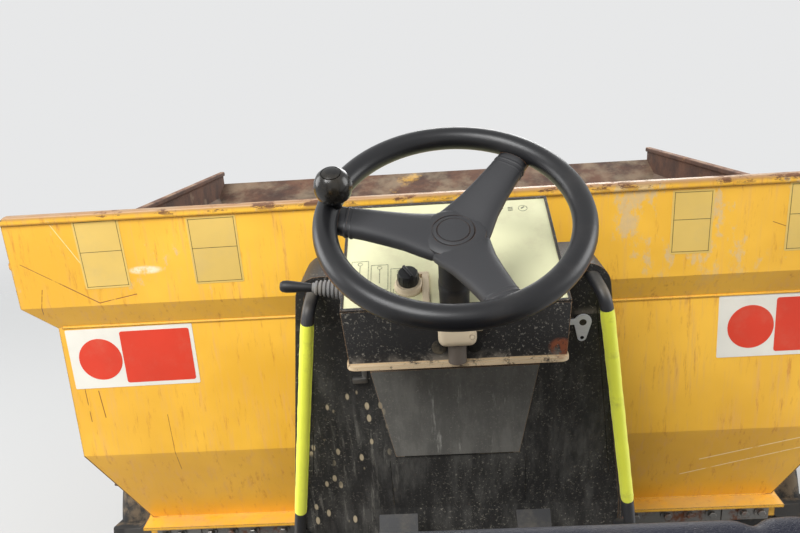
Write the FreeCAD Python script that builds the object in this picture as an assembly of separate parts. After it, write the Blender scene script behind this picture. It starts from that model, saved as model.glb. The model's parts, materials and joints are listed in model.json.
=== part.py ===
"""Articulated site dumper with a forward-tipping skip, a folding roll hoop and an open operator's station.

Millimetres. +Y points forward (the skip's end), +X to the operator's right, +Z up.
The origin is on the ground under the middle of the machine's outline.
"""
import FreeCAD, Part
import math
import os

from FreeCAD import Vector

os.makedirs("parts", exist_ok=True)

# Running gaps
PIN_GAP = 0.3          # radial gap at a hinge pin
SEAT_GAP = 0.3         # gap between a piece and the face it is bolted or rested on
SIDE_GAP = 6.0         # gap beside a moving lug, eye or plate

# Wheels and axles
TYRE_D = 1080.0
TYRE_W = 400.0
TYRE_X = 880.0         # middle of a tyre from the centre line
RIM_SEAT_R = 262.0     # where the tyre's bead sits on the rim
RIM_LIP_R = 284.0
RIM_WALL = 9.0
TREAD_SIDES = 36       # flats round a tyre
LUG_COUNT = 18         # lugs on each side of a tyre
LUG_H = 34.0
LUG_W = 56.0           # a lug's width at its top
LUG_ROOT_W = 72.0
LUG_LEAN = 38.0        # degrees that a lug turns away from straight across
LUG_SINK = 10.0
FRONT_AXLE_Y = 1105.0
REAR_AXLE_Y = -1245.0
AXLE_Z = TYRE_D / 2
AXLE_BEAM_R = 88.0
DIFF_R = 145.0
SPINDLE_R = 60.0
HUB_R = 112.0
HUB_INNER_X = 668.0    # the hub's inner end
HUB_OUTER_X = 905.0    # the hub cap's outer end
AXLE_SEAT_Z = AXLE_Z + 110.0   # underside of the chassis plates over the axles

# Centre pivot
ARTIC_Y = -70.0
ARTIC_Z = 600.0
ARTIC_PIN_R = 35.0
TRUNNION_R = 55.0
TRUNNION_FLANGE_Y = 70.0
TRUNNION_END_Y = 300.0
BEARING_WALL = 38.0

# Chassis plates
PLATE_IN = 300.0       # inner face of a chassis side plate
PLATE_T = 30.0
FRONT_PLATE_TOP = 905.0
FRONT_PLATE_END_Y = 1760.0
REAR_PLATE_TOP = 1020.0
REAR_PLATE_END_Y = -1995.0
FRONT_PLATE_LOW = 430.0
FRONT_NOSE_LOW = 520.0  # underside of the front chassis ahead of the axle
FRONT_NOSE_TOP = 770.0  # where the plates start to rise behind the trunnion plate
REAR_PLATE_LOW = 480.0
REAR_DECK_TOP = 900.0  # the rear plates' top behind the platform
PIVOT_HALF = 94.0      # half height of the pivot block
PIVOT_BLOCK_R = 82.0
PIVOT_EAR_T = 26.0
CLEVIS_IN = 25.0
CLEVIS_T = 16.0

# Skip, its heights from the floor's fold over the front wheels
SKIP_RISE_Y = FRONT_AXLE_Y
SKIP_RISE_Z = TYRE_D + 70.0
SKIP_WALL = 8.0
SKIP_X = 915.0         # half width between the ledge and the bend
SKIP_FOOT_X = 802.0
SKIP_FLARE = 22.0      # the half width gained from the rear wall to the lip
SKIP_REAR_Y = 286.0    # outer face of the rear wall at the ledge
SKIP_BEND_Y = 268.0
SKIP_BEND_Z = SKIP_RISE_Z + 57.0
SKIP_FOOT_Y = 332.0
SKIP_FOOT_Z = SKIP_RISE_Z - 178.0
SKIP_LIP_Y = 2085.0
SKIP_LIP_Z = SKIP_RISE_Z + 353.0
BAND_X = 975.0         # half width over the top band, at the rear
BAND_Y = 255.0         # rear face of the top band
BAND_TOP_Z = SKIP_RISE_Z + 674.0
BAND_H = 111.0         # the band's height on a side wall
LEDGE_DROP = 62.0      # how far the ledge under the band slants down
SIDE_TOP_REAR_Z = SKIP_RISE_Z + 568.0
SIDE_TOP_FRONT_Z = SKIP_RISE_Z + 419.0
BAND_LOW_Z = SIDE_TOP_REAR_Z - BAND_H
SKIP_LEDGE_Z = BAND_LOW_Z - LEDGE_DROP
BAND_CORNER = 14.0     # the clipped top corners of the rear wall
RIM_OUT = 8.0          # how far a folded rim stands out of its wall
RIM_H = 20.0
RIM_ROUND = 6.0
LIP_BAND = 30.0
LIP_BAND_H = 50.0
BEARER_IN = 285.0
BEARER_OUT = 345.0
BEARER_H = 80.0
BEARER_REST_Y = 560.0
BEARER_SINK = 3.0      # how far what hangs under the floor runs up into it
EAR_T = 12.0

# Mud flaps and their clamp strips under the skip's rear foot
FLAP_IN = 345.0
FLAP_OUT = 790.0
FLAP_T = 10.0
FLAP_LOW_Z = SKIP_FOOT_Z - 322.0
FLANGE_T = 8.0
FLANGE_H = 62.0
STRIP_H = 46.0
STRIP_T = 8.0
FLAP_Y = SKIP_FOOT_Y - 16.0

# Tip pivot and rams
TIP_Y = 1640.0
TIP_Z = 900.0
TIP_PIN_R = 30.0
TIP_LUG_T = 26.0
TIP_LUG_R = 62.0
RAM_X = 180.0
RAM_FOOT_Y = 330.0
RAM_FOOT_Z = 620.0
RAM_EYE_Y = 1050.0
RAM_EYE_Z = SKIP_RISE_Z - 150.0
RAM_BARREL_R = 42.0
RAM_BORE_R = 35.0
RAM_ROD_R = 19.0
RAM_EYE_R = 38.0
RAM_EYE_W = 36.0
RAM_PIN_R = 20.0
RAM_GLAND_GAP = 69.0   # from the barrel's end to the rod's eye with the ram closed

# Engine and gear case
ENGINE_LOW_Z = AXLE_Z + DIFF_R + 15.0
ENGINE_TOP_Z = 1300.0
ENGINE_X = 220.0
ENGINE_REAR_Y = -1890.0
ENGINE_FRONT_Y = -1130.0
GEAR_CASE_Y = -880.0   # rear face of the gear case
CASE_X = 120.0
CASE_TOP_Z = 800.0

# Steering ram, a single one on the right
STEER_FOOT_X = 175.0
STEER_FOOT_Y = -640.0
STEER_ARM = 160.0
STEER_BARREL_R = 30.0
STEER_BORE_R = 24.0
STEER_ROD_R = 16.0
STEER_EYE_R = 28.0
STEER_EYE_W = 38.0
STEER_PIN_R = 14.0
STEER_BARREL_L = 440.0
STEER_TRAVEL_BACK = 86.0
NECK_STEP = 2.0        # a ram's neck is this much slimmer than its eye, each side

# Operator's platform
FLOOR_Z = 1030.0
FLOOR_T = 10.0
FLOOR_FRONT_Y = 120.0
FLOOR_FRONT_X = 250.0
FLOOR_REAR_Y = REAR_AXLE_Y + TYRE_D / 2 + 15.0
FLOOR_X = 640.0
STEP_X = 800.0
STEP_FRONT_Y = -250.0
STEP_REAR_Y = FLOOR_REAR_Y + 90.0
STEP_TREADS_Z = (430.0, 730.0)
STEP_BAR_T = 10.0

# Tanks
TANK_X = 622.0
TANK_LOW_Z = 480.0
TANK_TOP_Z = 985.0
TANK_FRONT_Y = -160.0
TANK_REAR_Y = FLOOR_REAR_Y + 50.0

# Console
CONSOLE_TOP_X = 280.0
CONSOLE_TOP_Z = 1748.0
CONSOLE_BEND_Z = 1165.0
CONSOLE_FOOT_X = 360.0
CONSOLE_ROUND = 48.0   # the cheeks' rounded top corners
CONSOLE_FACE_TOP_Y = -22.0
CONSOLE_FACE_FOOT_Y = 76.0
CONSOLE_DEPTH_TOP = 120.0
CONSOLE_DEPTH_FOOT = 32.0
CHEEK_T = 16.0         # the turned-back edge along each side of the face
CHEEK_STAND = 14.0     # how far that edge stands out of the face
COVER_TOP_X = 164.0
COVER_LOW_X = 128.0
COVER_TOP_Z = 1531.0
COVER_LOW_Z = 1314.0
COVER_T = 4.0
DASH_X = 188.0
DASH_TOP_Y = 83.0
DASH_TOP_Z = 1842.0
DASH_EDGE_Y = -166.0
DASH_EDGE_Z = 1728.0
DASH_LIP_Z = 1636.0
DASH_FOOT_X = 180.0      # the pod is narrower at its foot
DASH_FACE_T = 3.0
DASH_FACE_MARGIN = 14.0
LIP_OUT = 10.0         # the flange behind the pod's foot
LIP_SIDE_OUT = 4.0
LIP_T = 7.0
LIP_ROUND = 16.0

# Hand rails: (x, y, z) of their bends
RAIL_R = 16.5
RAIL_BEND = 30.0
RAIL_LOW = (345.0, 10.0, 1150.0)
RAIL_HIGH = (258.0, -72.0, 1694.0)
RAIL_END_Z = 1735.0

# Steering wheel
WHEEL_Y = -245.0
WHEEL_Z = 1900.0
WHEEL_D = 408.0
WHEEL_RIM_R = 18.0
WHEEL_TILT = 28.5      # rim plane from the horizontal, degrees
WHEEL_DISH = 48.0      # the hub's depth below the rim plane
WHEEL_HUB_R = 46.0
SPOKE_ANGLES = (53.0, 173.0, -67.0)
KNOB_ANGLE = 170.5
KNOB_R = 28.0
KNOB_IN = 14.0         # how far the knob stands inside the rim's middle
COLUMN_R = 34.0
LEVER_Y = -95.0
LEVER_Z = 1742.0

# Seat
SEAT_X = 240.0
SEAT_REAR_Y = -930.0
SEAT_FRONT_Y = -470.0
SEAT_BASE_TOP = 1330.0
CUSHION_T = 150.0
BACK_TOP_Z = 1888.0
BACK_T = 110.0
BACK_LEAN = 70.0

# Roll hoop
HOOP_X = 575.0
HOOP_Y = -1010.0
POST_W = 100.0
POST_D = 80.0
HOOP_HINGE_Z = 1900.0
HOOP_TOP_Z = 2800.0
HOOP_EAR_T = 8.0
HOOP_PIN_R = 14.0
HOOP_BEND_R = 160.0
BEACON_R = 62.0
BEACON_H = 150.0

# Rear body
OUTRIGGER_TOP = TYRE_D + 59.7
BONNET_X = 560.0
BONNET_TOP_X = 500.0
BONNET_FRONT_Y = -1075.0
BONNET_REAR_Y = -2040.0
BONNET_LOW_Z = OUTRIGGER_TOP + 0.3
BONNET_TOP_Z = 1560.0
BONNET_TAIL_Z = 1440.0
BONNET_WALL = 5.0
BONNET_HINGE_Y = BONNET_REAR_Y - 14.0
BONNET_HINGE_Z = 1154.0
BONNET_KNUCKLE_R = 13.0
BONNET_PIN_R = 7.0
BONNET_EAR_X = 400.0
BONNET_EAR_T = 14.0
GRILLE_X = 290.0
GRILLE_LOW_Z = BONNET_LOW_Z + 42.0
SLAT_COUNT = 6
SLAT_PITCH = 22.0
LOUVRE_COUNT = 7
LOUVRE_PITCH = 26.0
LOUVRE_REAR_Y = -1700.0
LOUVRE_FRONT_Y = -1480.0
LOUVRE_LOW_Z = BONNET_LOW_Z + 66.0
GUARD_T = 6.0
GUARD_X = 1070.0
GUARD_TIP_Z = 980.0
GUARD_REAR_Y = REAR_AXLE_Y - TYRE_D / 2 - 45.0
GUARD_LIP = 40.0       # the turned-down outer edge
BUMPER_LOW_Z = 430.0
BUMPER_TOP_Z = 1110.0
LAMP_IN = 300.0
LAMP_OUT = 470.0
LAMP_LOW_Z = 800.0
LAMP_TOP_Z = 880.0
LAMP_DEPTH = 26.0
JAW_Z = 540.0          # underside of the tow jaw's lower plate
JAW_GAP = 60.0
JAW_T = 20.0
BUMPER_REAR_Y = -2060.0
BUMPER_X = 565.0
HITCH_REAR_Y = -2115.0
HITCH_PIN_R = 16.0
EYE_HOLE_R = 22.0
EXHAUST_R = 30.0
EXHAUST_X = 606.0
EXHAUST_Y = -1112.0
EXHAUST_TOP_Z = 1760.0

X_AXIS = Vector(1, 0, 0)
Y_AXIS = Vector(0, 1, 0)
Z_AXIS = Vector(0, 0, 1)


def box(x0, x1, y0, y1, z0, z1):
    return Part.makeBox(x1 - x0, y1 - y0, z1 - z0, Vector(x0, y0, z0))


def rod(start, end, radius):
    start = Vector(*start)
    end = Vector(*end)
    run = end - start
    return Part.makeCylinder(radius, run.Length, start, run)


def fuse(shapes):
    shapes = list(shapes)
    whole = shapes[0].multiFuse(shapes[1:]) if len(shapes) > 1 else shapes[0]
    return whole.removeSplitter()


def mirrored(shape):
    return shape.mirror(Vector(0, 0, 0), X_AXIS)


def both(shape):
    return [shape, mirrored(shape)]


def face_of(points):
    return Part.Face(Part.makePolygon(points + [points[0]]))


def side_prism(points, x0, x1):
    """Points are (y, z), pushed along X."""
    return face_of([Vector(x0, y, z) for y, z in points]).extrude(Vector(x1 - x0, 0, 0))


def front_prism(points, y0, y1):
    """Points are (x, z), pushed along Y."""
    return face_of([Vector(x, y0, z) for x, z in points]).extrude(Vector(0, y1 - y0, 0))


def plan_prism(points, z0, z1):
    """Points are (x, y), pushed along Z."""
    return face_of([Vector(x, y, z0) for x, y in points]).extrude(Vector(0, 0, z1 - z0))


def inset(points, gaps):
    """A closed outline with each edge moved inwards by its own gap; edge i runs from point i to point i + 1."""
    count = len(points)
    area = sum(points[i][0] * points[(i + 1) % count][1] - points[(i + 1) % count][0] * points[i][1]
               for i in range(count))
    turn = 1.0 if area > 0 else -1.0
    lines = []
    for i in range(count):
        (ax, ay), (bx, by) = points[i], points[(i + 1) % count]
        length = math.hypot(bx - ax, by - ay)
        nx = -(by - ay) / length * turn
        ny = (bx - ax) / length * turn
        lines.append((ax + nx * gaps[i], ay + ny * gaps[i], bx - ax, by - ay))
    moved = []
    for i in range(count):
        px, py, pdx, pdy = lines[i - 1]
        qx, qy, qdx, qdy = lines[i]
        cross = pdx * qdy - pdy * qdx
        along = ((qx - px) * qdy - (qy - py) * qdx) / cross
        moved.append((px + along * pdx, py + along * pdy))
    return moved


def ruled(sections):
    wires = [Part.makePolygon(points + [points[0]]) for points in sections]
    return Part.makeLoft(wires, True, True)


def swept_tube(points, radius, bend):
    """A round tube along straight runs joined by tangent arcs."""
    points = [Vector(*p) for p in points]
    edges = []
    last = points[0]
    for i in range(1, len(points) - 1):
        back = (points[i - 1] - points[i]).normalize()
        ahead = (points[i + 1] - points[i]).normalize()
        half = back.getAngle(ahead) / 2
        reach = bend / math.tan(half)
        start = points[i] + back * reach
        end = points[i] + ahead * reach
        middle = (back + ahead).normalize()
        centre = points[i] + middle * (bend / math.sin(half))
        top = centre - middle * bend
        edges.append(Part.LineSegment(last, start).toShape())
        edges.append(Part.Arc(start, top, end).toShape())
        last = end
    edges.append(Part.LineSegment(last, points[-1]).toShape())
    path = Part.Wire(edges)
    circle = Part.Wire([Part.makeCircle(radius, points[0], points[1] - points[0])])
    return path.makePipeShell([circle], True, False, 1)


def turned(profile, axis_y, axis_z):
    """A round solid about the X direction through (axis_y, axis_z); profile points are (x, radius)."""
    points = [Vector(x, axis_y, axis_z + r) for x, r in profile]
    return face_of(points).revolve(Vector(0, axis_y, axis_z), X_AXIS, 360)


def save(node, shapes):
    if not isinstance(shapes, list):
        shapes = [shapes]
    whole = shapes[0] if len(shapes) == 1 else Part.makeCompound(shapes)
    whole.exportStep("parts/" + node + ".step")


# Wheels

def facet_solid(rings, closed):
    """A solid of flat faces over rings of points; a closed row of rings has no ends."""
    faces = []
    pairs = list(zip(rings, rings[1:] + rings[:1])) if closed else list(zip(rings, rings[1:]))
    count = len(rings[0])
    for near, far in pairs:
        for i in range(count):
            j = (i + 1) % count
            if closed:
                faces.append(face_of([near[i], near[j], far[j], far[i]]))
            else:
                faces += [face_of([near[i], near[j], far[j]]), face_of([near[i], far[j], far[i]])]
    if not closed:
        for ring in (rings[0], rings[-1]):
            faces += [face_of([ring[0], ring[1], ring[2]]), face_of([ring[0], ring[2], ring[3]])]
    solid = Part.makeSolid(Part.makeShell(faces))
    if solid.Volume < 0:
        solid.reverse()
    return solid


def on_tyre(across, radius, angle):
    return Vector(across, radius * math.cos(angle), radius * math.sin(angle))


def lug(side, angle):
    """One lug from the middle of the tread out over the shoulder: three rings of four corners."""
    half = TYRE_W / 2
    outer = TYRE_D / 2
    root = outer - LUG_H - LUG_SINK
    lean = math.tan(math.radians(LUG_LEAN)) / outer
    # (across, top radius, root radius)
    rows = ((-6.0, outer, root), (half * 0.52, outer, root), (half * 0.97, outer - 12, root - 46))
    rings = []
    for across, top, low in rows:
        middle = angle + lean * min(across, half * 0.52)
        ring = []
        for radius, width, sign in ((low, LUG_ROOT_W, -1), (top, LUG_W, -1), (top, LUG_W, 1),
                                    (low, LUG_ROOT_W, 1)):
            ring.append(on_tyre(side * across, radius, middle + sign * width / 2 / outer))
        rings.append(ring)
    return facet_solid(rings, False)


def tyre():
    """A tyre round the X axis at the origin; its lowest lug corners lie straight under the axle."""
    half = TYRE_W / 2
    bead = half * 0.72
    crown = TYRE_D / 2 - LUG_H
    flat = math.cos(math.pi / TREAD_SIDES)
    # (across, radius)
    wall = [(bead, RIM_SEAT_R / flat), (bead, RIM_LIP_R + 8), (half, RIM_LIP_R + 75), (half, crown - 62),
            (half * 0.84, crown)]
    profile = wall + [(-across, radius) for across, radius in reversed(wall)]
    pitch = 2 * math.pi / TREAD_SIDES
    rings = [[on_tyre(x, r, i * pitch) for x, r in profile] for i in range(TREAD_SIDES)]
    carcass = facet_solid(rings, True)
    start = -math.pi / 2 + LUG_W / 2 / (TYRE_D / 2) - math.tan(math.radians(LUG_LEAN)) / (TYRE_D / 2) * -6.0
    step = 2 * math.pi / LUG_COUNT
    lugs = [lug(side, start + (i + shift) * step) for side, shift in ((1, 0.0),
                                                                      (-1, 0.5)) for i in range(LUG_COUNT)]
    return carcass.multiFuse(lugs)


def placed_tyre(whole, side, axle_y):
    put = whole.copy() if side > 0 else mirrored(whole)
    put.translate(Vector(side * TYRE_X, axle_y, AXLE_Z))
    return put


def rim(side, axle_y):
    half = TYRE_W / 2
    seat = RIM_SEAT_R - SEAT_GAP
    centre = TYRE_X
    well = seat - RIM_WALL
    disc_x = centre - 20
    bead = half * 0.72 + SEAT_GAP
    edge = bead + 12
    barrel = [
        (centre - edge, RIM_LIP_R), (centre - bead, RIM_LIP_R), (centre - bead, seat), (centre + bead, seat),
        (centre + bead, RIM_LIP_R), (centre + edge, RIM_LIP_R), (centre + edge, well), (centre - edge, well),
    ]
    disc = [
        (disc_x, well + 2), (disc_x - 14, well + 2), (disc_x + 22, HUB_R + 30), (disc_x + 22, HUB_R - 2),
        (disc_x + 36, HUB_R - 2), (disc_x + 36, HUB_R + 34),
    ]
    hub = [
        (HUB_INNER_X, SPINDLE_R + PIN_GAP), (HUB_INNER_X, HUB_R), (HUB_OUTER_X - 12, HUB_R),
        (HUB_OUTER_X, HUB_R - 14), (HUB_OUTER_X, 0), (HUB_OUTER_X - 20, 0),
        (HUB_OUTER_X - 20, SPINDLE_R + PIN_GAP),
    ]
    whole = fuse([turned(p, axle_y, AXLE_Z) for p in (barrel, disc, hub)])
    return whole if side > 0 else mirrored(whole)


def axle(axle_y, nose):
    """Beam, bowl and pinion nose; nose is +1 or -1 for the way the drive shaft leaves."""
    beam = [
        (0, AXLE_BEAM_R), (430, AXLE_BEAM_R), (470, AXLE_BEAM_R + 16), (560, AXLE_BEAM_R + 22),
        (590, HUB_R), (HUB_INNER_X - 8, HUB_R), (HUB_INNER_X - 8, SPINDLE_R),
        (HUB_OUTER_X - 26, SPINDLE_R), (HUB_OUTER_X - 26, 0), (0, 0),
    ]
    half = turned(beam, axle_y, AXLE_Z)
    bowl = [(-95, 0), (-95, DIFF_R - 40), (-50, DIFF_R), (50, DIFF_R), (95, DIFF_R - 40), (95, 0)]
    pieces = both(half) + [turned(bowl, axle_y, AXLE_Z)]
    pieces.append(rod((0, axle_y, AXLE_Z), (0, axle_y + nose * 235, AXLE_Z), 62))
    return pieces


def front_axle():
    shaft_end = TRUNNION_END_Y + 90
    shaft = rod((0, FRONT_AXLE_Y - 230, AXLE_Z), (0, shaft_end, AXLE_Z), 32)
    pads = [box(x - 60, x + 60, FRONT_AXLE_Y - 70, FRONT_AXLE_Y + 70, AXLE_Z, AXLE_SEAT_Z - SEAT_GAP)
            for x in (-PLATE_IN - PLATE_T / 2, PLATE_IN + PLATE_T / 2)]
    return fuse(axle(FRONT_AXLE_Y, -1) + [shaft] + pads)


def rear_axle():
    pads = [box(x - 60, x + 60, REAR_AXLE_Y - 70, REAR_AXLE_Y + 70, AXLE_Z, AXLE_SEAT_Z - SEAT_GAP)
            for x in (-PLATE_IN - PLATE_T / 2, PLATE_IN + PLATE_T / 2)]
    shaft = rod((0, REAR_AXLE_Y + 230, AXLE_Z), (0, GEAR_CASE_Y - SEAT_GAP, AXLE_Z), 32)
    return fuse(axle(REAR_AXLE_Y, 1) + [shaft] + pads)


# Skip

def skip_outline():
    """The skip's outer side view, down the rear wall, along the floor and back along the side top: (y, z)."""
    return [
        (BAND_Y, BAND_TOP_Z), (BAND_Y, BAND_LOW_Z), (SKIP_REAR_Y, SKIP_LEDGE_Z), (SKIP_BEND_Y, SKIP_BEND_Z),
        (SKIP_FOOT_Y, SKIP_FOOT_Z), (SKIP_RISE_Y, SKIP_RISE_Z), (SKIP_LIP_Y, SKIP_LIP_Z),
        (SKIP_LIP_Y, SIDE_TOP_FRONT_Z), (BAND_Y + SKIP_WALL, SIDE_TOP_REAR_Z), (BAND_Y + SKIP_WALL,
                                                                                BAND_TOP_Z),
    ]


def hold_outline():
    """The side view of the space inside, open above and past the lip: (y, z)."""
    reach = 150.0
    rise = (SKIP_LIP_Z - SKIP_RISE_Z) / (SKIP_LIP_Y - SKIP_RISE_Y)
    open_z = BAND_TOP_Z + reach
    outline = [(BAND_Y, open_z)] + skip_outline()[1:7]
    outline += [(SKIP_LIP_Y + reach, SKIP_LIP_Z + reach * rise), (SKIP_LIP_Y + reach, open_z)]
    return inset(outline, [SKIP_WALL] * 7 + [0, 0])


def at_side(y):
    """The sideways flare gained at y, and the height of the side wall's top there."""
    share = (y - BAND_Y) / (SKIP_LIP_Y - BAND_Y)
    return SKIP_FLARE * share, SIDE_TOP_REAR_Z + (SIDE_TOP_FRONT_Z - SIDE_TOP_REAR_Z) * share


def skip_ring(y, wall):
    """The skip's section across at y, foot, bend, ledge and band on each side, moved in by wall."""
    flare, top = at_side(y)
    past = 60.0
    lean = (SKIP_X - SKIP_FOOT_X) / (SKIP_BEND_Z - SKIP_FOOT_Z)
    half = [
        (SKIP_FOOT_X + flare - lean * past, SKIP_FOOT_Z - past), (SKIP_X + flare, SKIP_BEND_Z),
        (SKIP_X + flare, top - BAND_H - LEDGE_DROP), (BAND_X + flare, top - BAND_H),
        (BAND_X + flare, BAND_TOP_Z + past),
    ]
    ring = half + [(-x, z) for x, z in reversed(half)]
    return [Vector(x, y, z) for x, z in inset(ring, ([wall] * 4 + [0]) * 2)]


def long_edges(shape, way):
    return [e for e in shape.Edges if abs(e.tangentAt(e.FirstParameter).dot(way)) > 0.97]


def rear_rim():
    rim = box(-BAND_X, BAND_X, BAND_Y - RIM_OUT, BAND_Y + SKIP_WALL + RIM_OUT, BAND_TOP_Z - RIM_H, BAND_TOP_Z)
    return rim.makeFillet(RIM_ROUND, long_edges(rim, X_AXIS))


def side_rim():
    """The folded rim along the top of the right side wall."""
    sections = []
    for y in (BAND_Y + SKIP_WALL, SKIP_LIP_Y):
        flare, top = at_side(y)
        inner = BAND_X + flare - SKIP_WALL - RIM_OUT
        outer = BAND_X + flare + RIM_OUT
        sections.append([Vector(inner, y, top), Vector(outer, y, top), Vector(outer, y, top - RIM_H),
                         Vector(inner, y, top - RIM_H)])
    rim = ruled(sections)
    return rim.makeFillet(RIM_ROUND, long_edges(rim, Y_AXIS))


def skip():
    hull = side_prism(skip_outline(), -1100, 1100).common(ruled([skip_ring(BAND_Y, 0), skip_ring(SKIP_LIP_Y,
                                                                                                 0)]))
    past_lip = SKIP_LIP_Y + 150
    hold = side_prism(hold_outline(), -1100, 1100).common(
        ruled([skip_ring(BAND_Y, SKIP_WALL), skip_ring(past_lip, SKIP_WALL)]))
    lip_x = BAND_X + SKIP_FLARE
    lip = box(-lip_x, lip_x, SKIP_LIP_Y - 2, SKIP_LIP_Y + LIP_BAND, SKIP_LIP_Z - LIP_BAND_H, SKIP_LIP_Z)
    shell = fuse([hull.cut(hold), rear_rim(), lip] + both(side_rim()))
    for sign in (-1, 1):
        edge = sign * BAND_X
        clip = front_prism([(edge - sign * BAND_CORNER, BAND_TOP_Z + 1), (edge + sign, BAND_TOP_Z + 1),
                            (edge + sign, BAND_TOP_Z - BAND_CORNER)], BAND_Y - 50, BAND_Y + 50)
        shell = shell.cut(clip)
    return fuse([shell] + skip_bearers() + ram_ears())


def floor_z(y):
    """Height of the skip floor's underside."""
    if y < SKIP_RISE_Y:
        share = (y - SKIP_FOOT_Y) / (SKIP_RISE_Y - SKIP_FOOT_Y)
        return SKIP_FOOT_Z + share * (SKIP_RISE_Z - SKIP_FOOT_Z)
    share = (y - SKIP_RISE_Y) / (SKIP_LIP_Y - SKIP_RISE_Y)
    return SKIP_RISE_Z + share * (SKIP_LIP_Z - SKIP_RISE_Z)


def skip_bearers():
    """Two floor bearers that rest on the chassis and carry the tip pivot lugs."""
    sink = BEARER_SINK
    rear = SKIP_FOOT_Y + 90
    front = SKIP_LIP_Y - 60
    rest_z = FRONT_PLATE_TOP + 7
    outline = [
        (rear, floor_z(rear) + sink), (rear, rest_z), (BEARER_REST_Y, rest_z),
        (SKIP_RISE_Y, SKIP_RISE_Z - BEARER_H), (front, floor_z(front) - BEARER_H * 0.5),
        (front, floor_z(front) + sink), (SKIP_RISE_Y, SKIP_RISE_Z + sink),
    ]
    bearer = side_prism(outline, BEARER_IN, BEARER_OUT)
    lug_in = PLATE_IN + PLATE_T + SIDE_GAP
    lug_out = lug_in + TIP_LUG_T
    lug_outline = [
        (TIP_Y - TIP_LUG_R, TIP_Z), (TIP_Y + TIP_LUG_R, TIP_Z),
        (TIP_Y + 190, floor_z(TIP_Y + 190) + sink), (TIP_Y - 190, floor_z(TIP_Y - 190) + sink),
    ]
    lug = side_prism(lug_outline, lug_in, lug_out)
    lug = lug.fuse(rod((lug_in, TIP_Y, TIP_Z), (lug_out, TIP_Y, TIP_Z), TIP_LUG_R))
    lug = lug.cut(rod((lug_in - 1, TIP_Y, TIP_Z), (lug_out + 1, TIP_Y, TIP_Z), TIP_PIN_R + PIN_GAP))
    return both(bearer) + both(lug)


def ram_ears():
    """Pairs of ears under the floor for the rams' rod eyes; the pins stay open."""
    ears = []
    thickness = EAR_T
    for start in (RAM_X - RAM_EYE_W / 2 - SIDE_GAP - thickness, RAM_X + RAM_EYE_W / 2 + SIDE_GAP):
        outline = [
            (RAM_EYE_Y - 44, RAM_EYE_Z), (RAM_EYE_Y + 44, RAM_EYE_Z),
            (RAM_EYE_Y + 110, floor_z(RAM_EYE_Y + 110) + BEARER_SINK),
            (RAM_EYE_Y - 110, floor_z(RAM_EYE_Y - 110) + BEARER_SINK),
        ]
        ear = side_prism(outline, start, start + thickness)
        ear = ear.fuse(rod((start, RAM_EYE_Y, RAM_EYE_Z), (start + thickness, RAM_EYE_Y, RAM_EYE_Z), 44))
        ear = ear.cut(rod((start - 1, RAM_EYE_Y, RAM_EYE_Z),
                          (start + thickness + 1, RAM_EYE_Y, RAM_EYE_Z), RAM_PIN_R + PIN_GAP))
        ears += both(ear)
    return ears


def skip_flanges():
    """Angle pieces under the rear foot of the skip that carry the mud flaps."""
    pieces = []
    for sign in (-1, 1):
        x0, x1 = sorted((sign * FLAP_IN, sign * (FLAP_OUT + 25)))
        shelf = side_prism([
            (FLAP_Y - 30, SKIP_FOOT_Z + 2), (FLAP_Y - 30, SKIP_FOOT_Z - 6), (SKIP_FOOT_Y + 40,
                                                                             SKIP_FOOT_Z - 6),
            (SKIP_FOOT_Y + 40, SKIP_FOOT_Z + 12), (SKIP_FOOT_Y, SKIP_FOOT_Z + 2),
        ], x0, x1)
        web = side_prism([
            (FLAP_Y + FLAP_T + 2 * SEAT_GAP, SKIP_FOOT_Z), (FLAP_Y + FLAP_T + 2 * SEAT_GAP,
                                                            SKIP_FOOT_Z - FLANGE_H),
            (FLAP_Y + FLAP_T + 2 * SEAT_GAP + FLANGE_T, SKIP_FOOT_Z - FLANGE_H),
            (FLAP_Y + FLAP_T + 2 * SEAT_GAP + FLANGE_T, SKIP_FOOT_Z),
        ], x0, x1)
        pieces += [shelf, web]
    return pieces


def skip_flaps():
    top = SKIP_FOOT_Z - 6 - SEAT_GAP
    return both(box(FLAP_IN, FLAP_OUT, FLAP_Y + SEAT_GAP, FLAP_Y + FLAP_T + SEAT_GAP, FLAP_LOW_Z, top))


def flap_strips():
    top = SKIP_FOOT_Z - 10
    return both(box(FLAP_IN, FLAP_OUT, FLAP_Y - STRIP_T, FLAP_Y, top - STRIP_H, top))


# Front chassis

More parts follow.
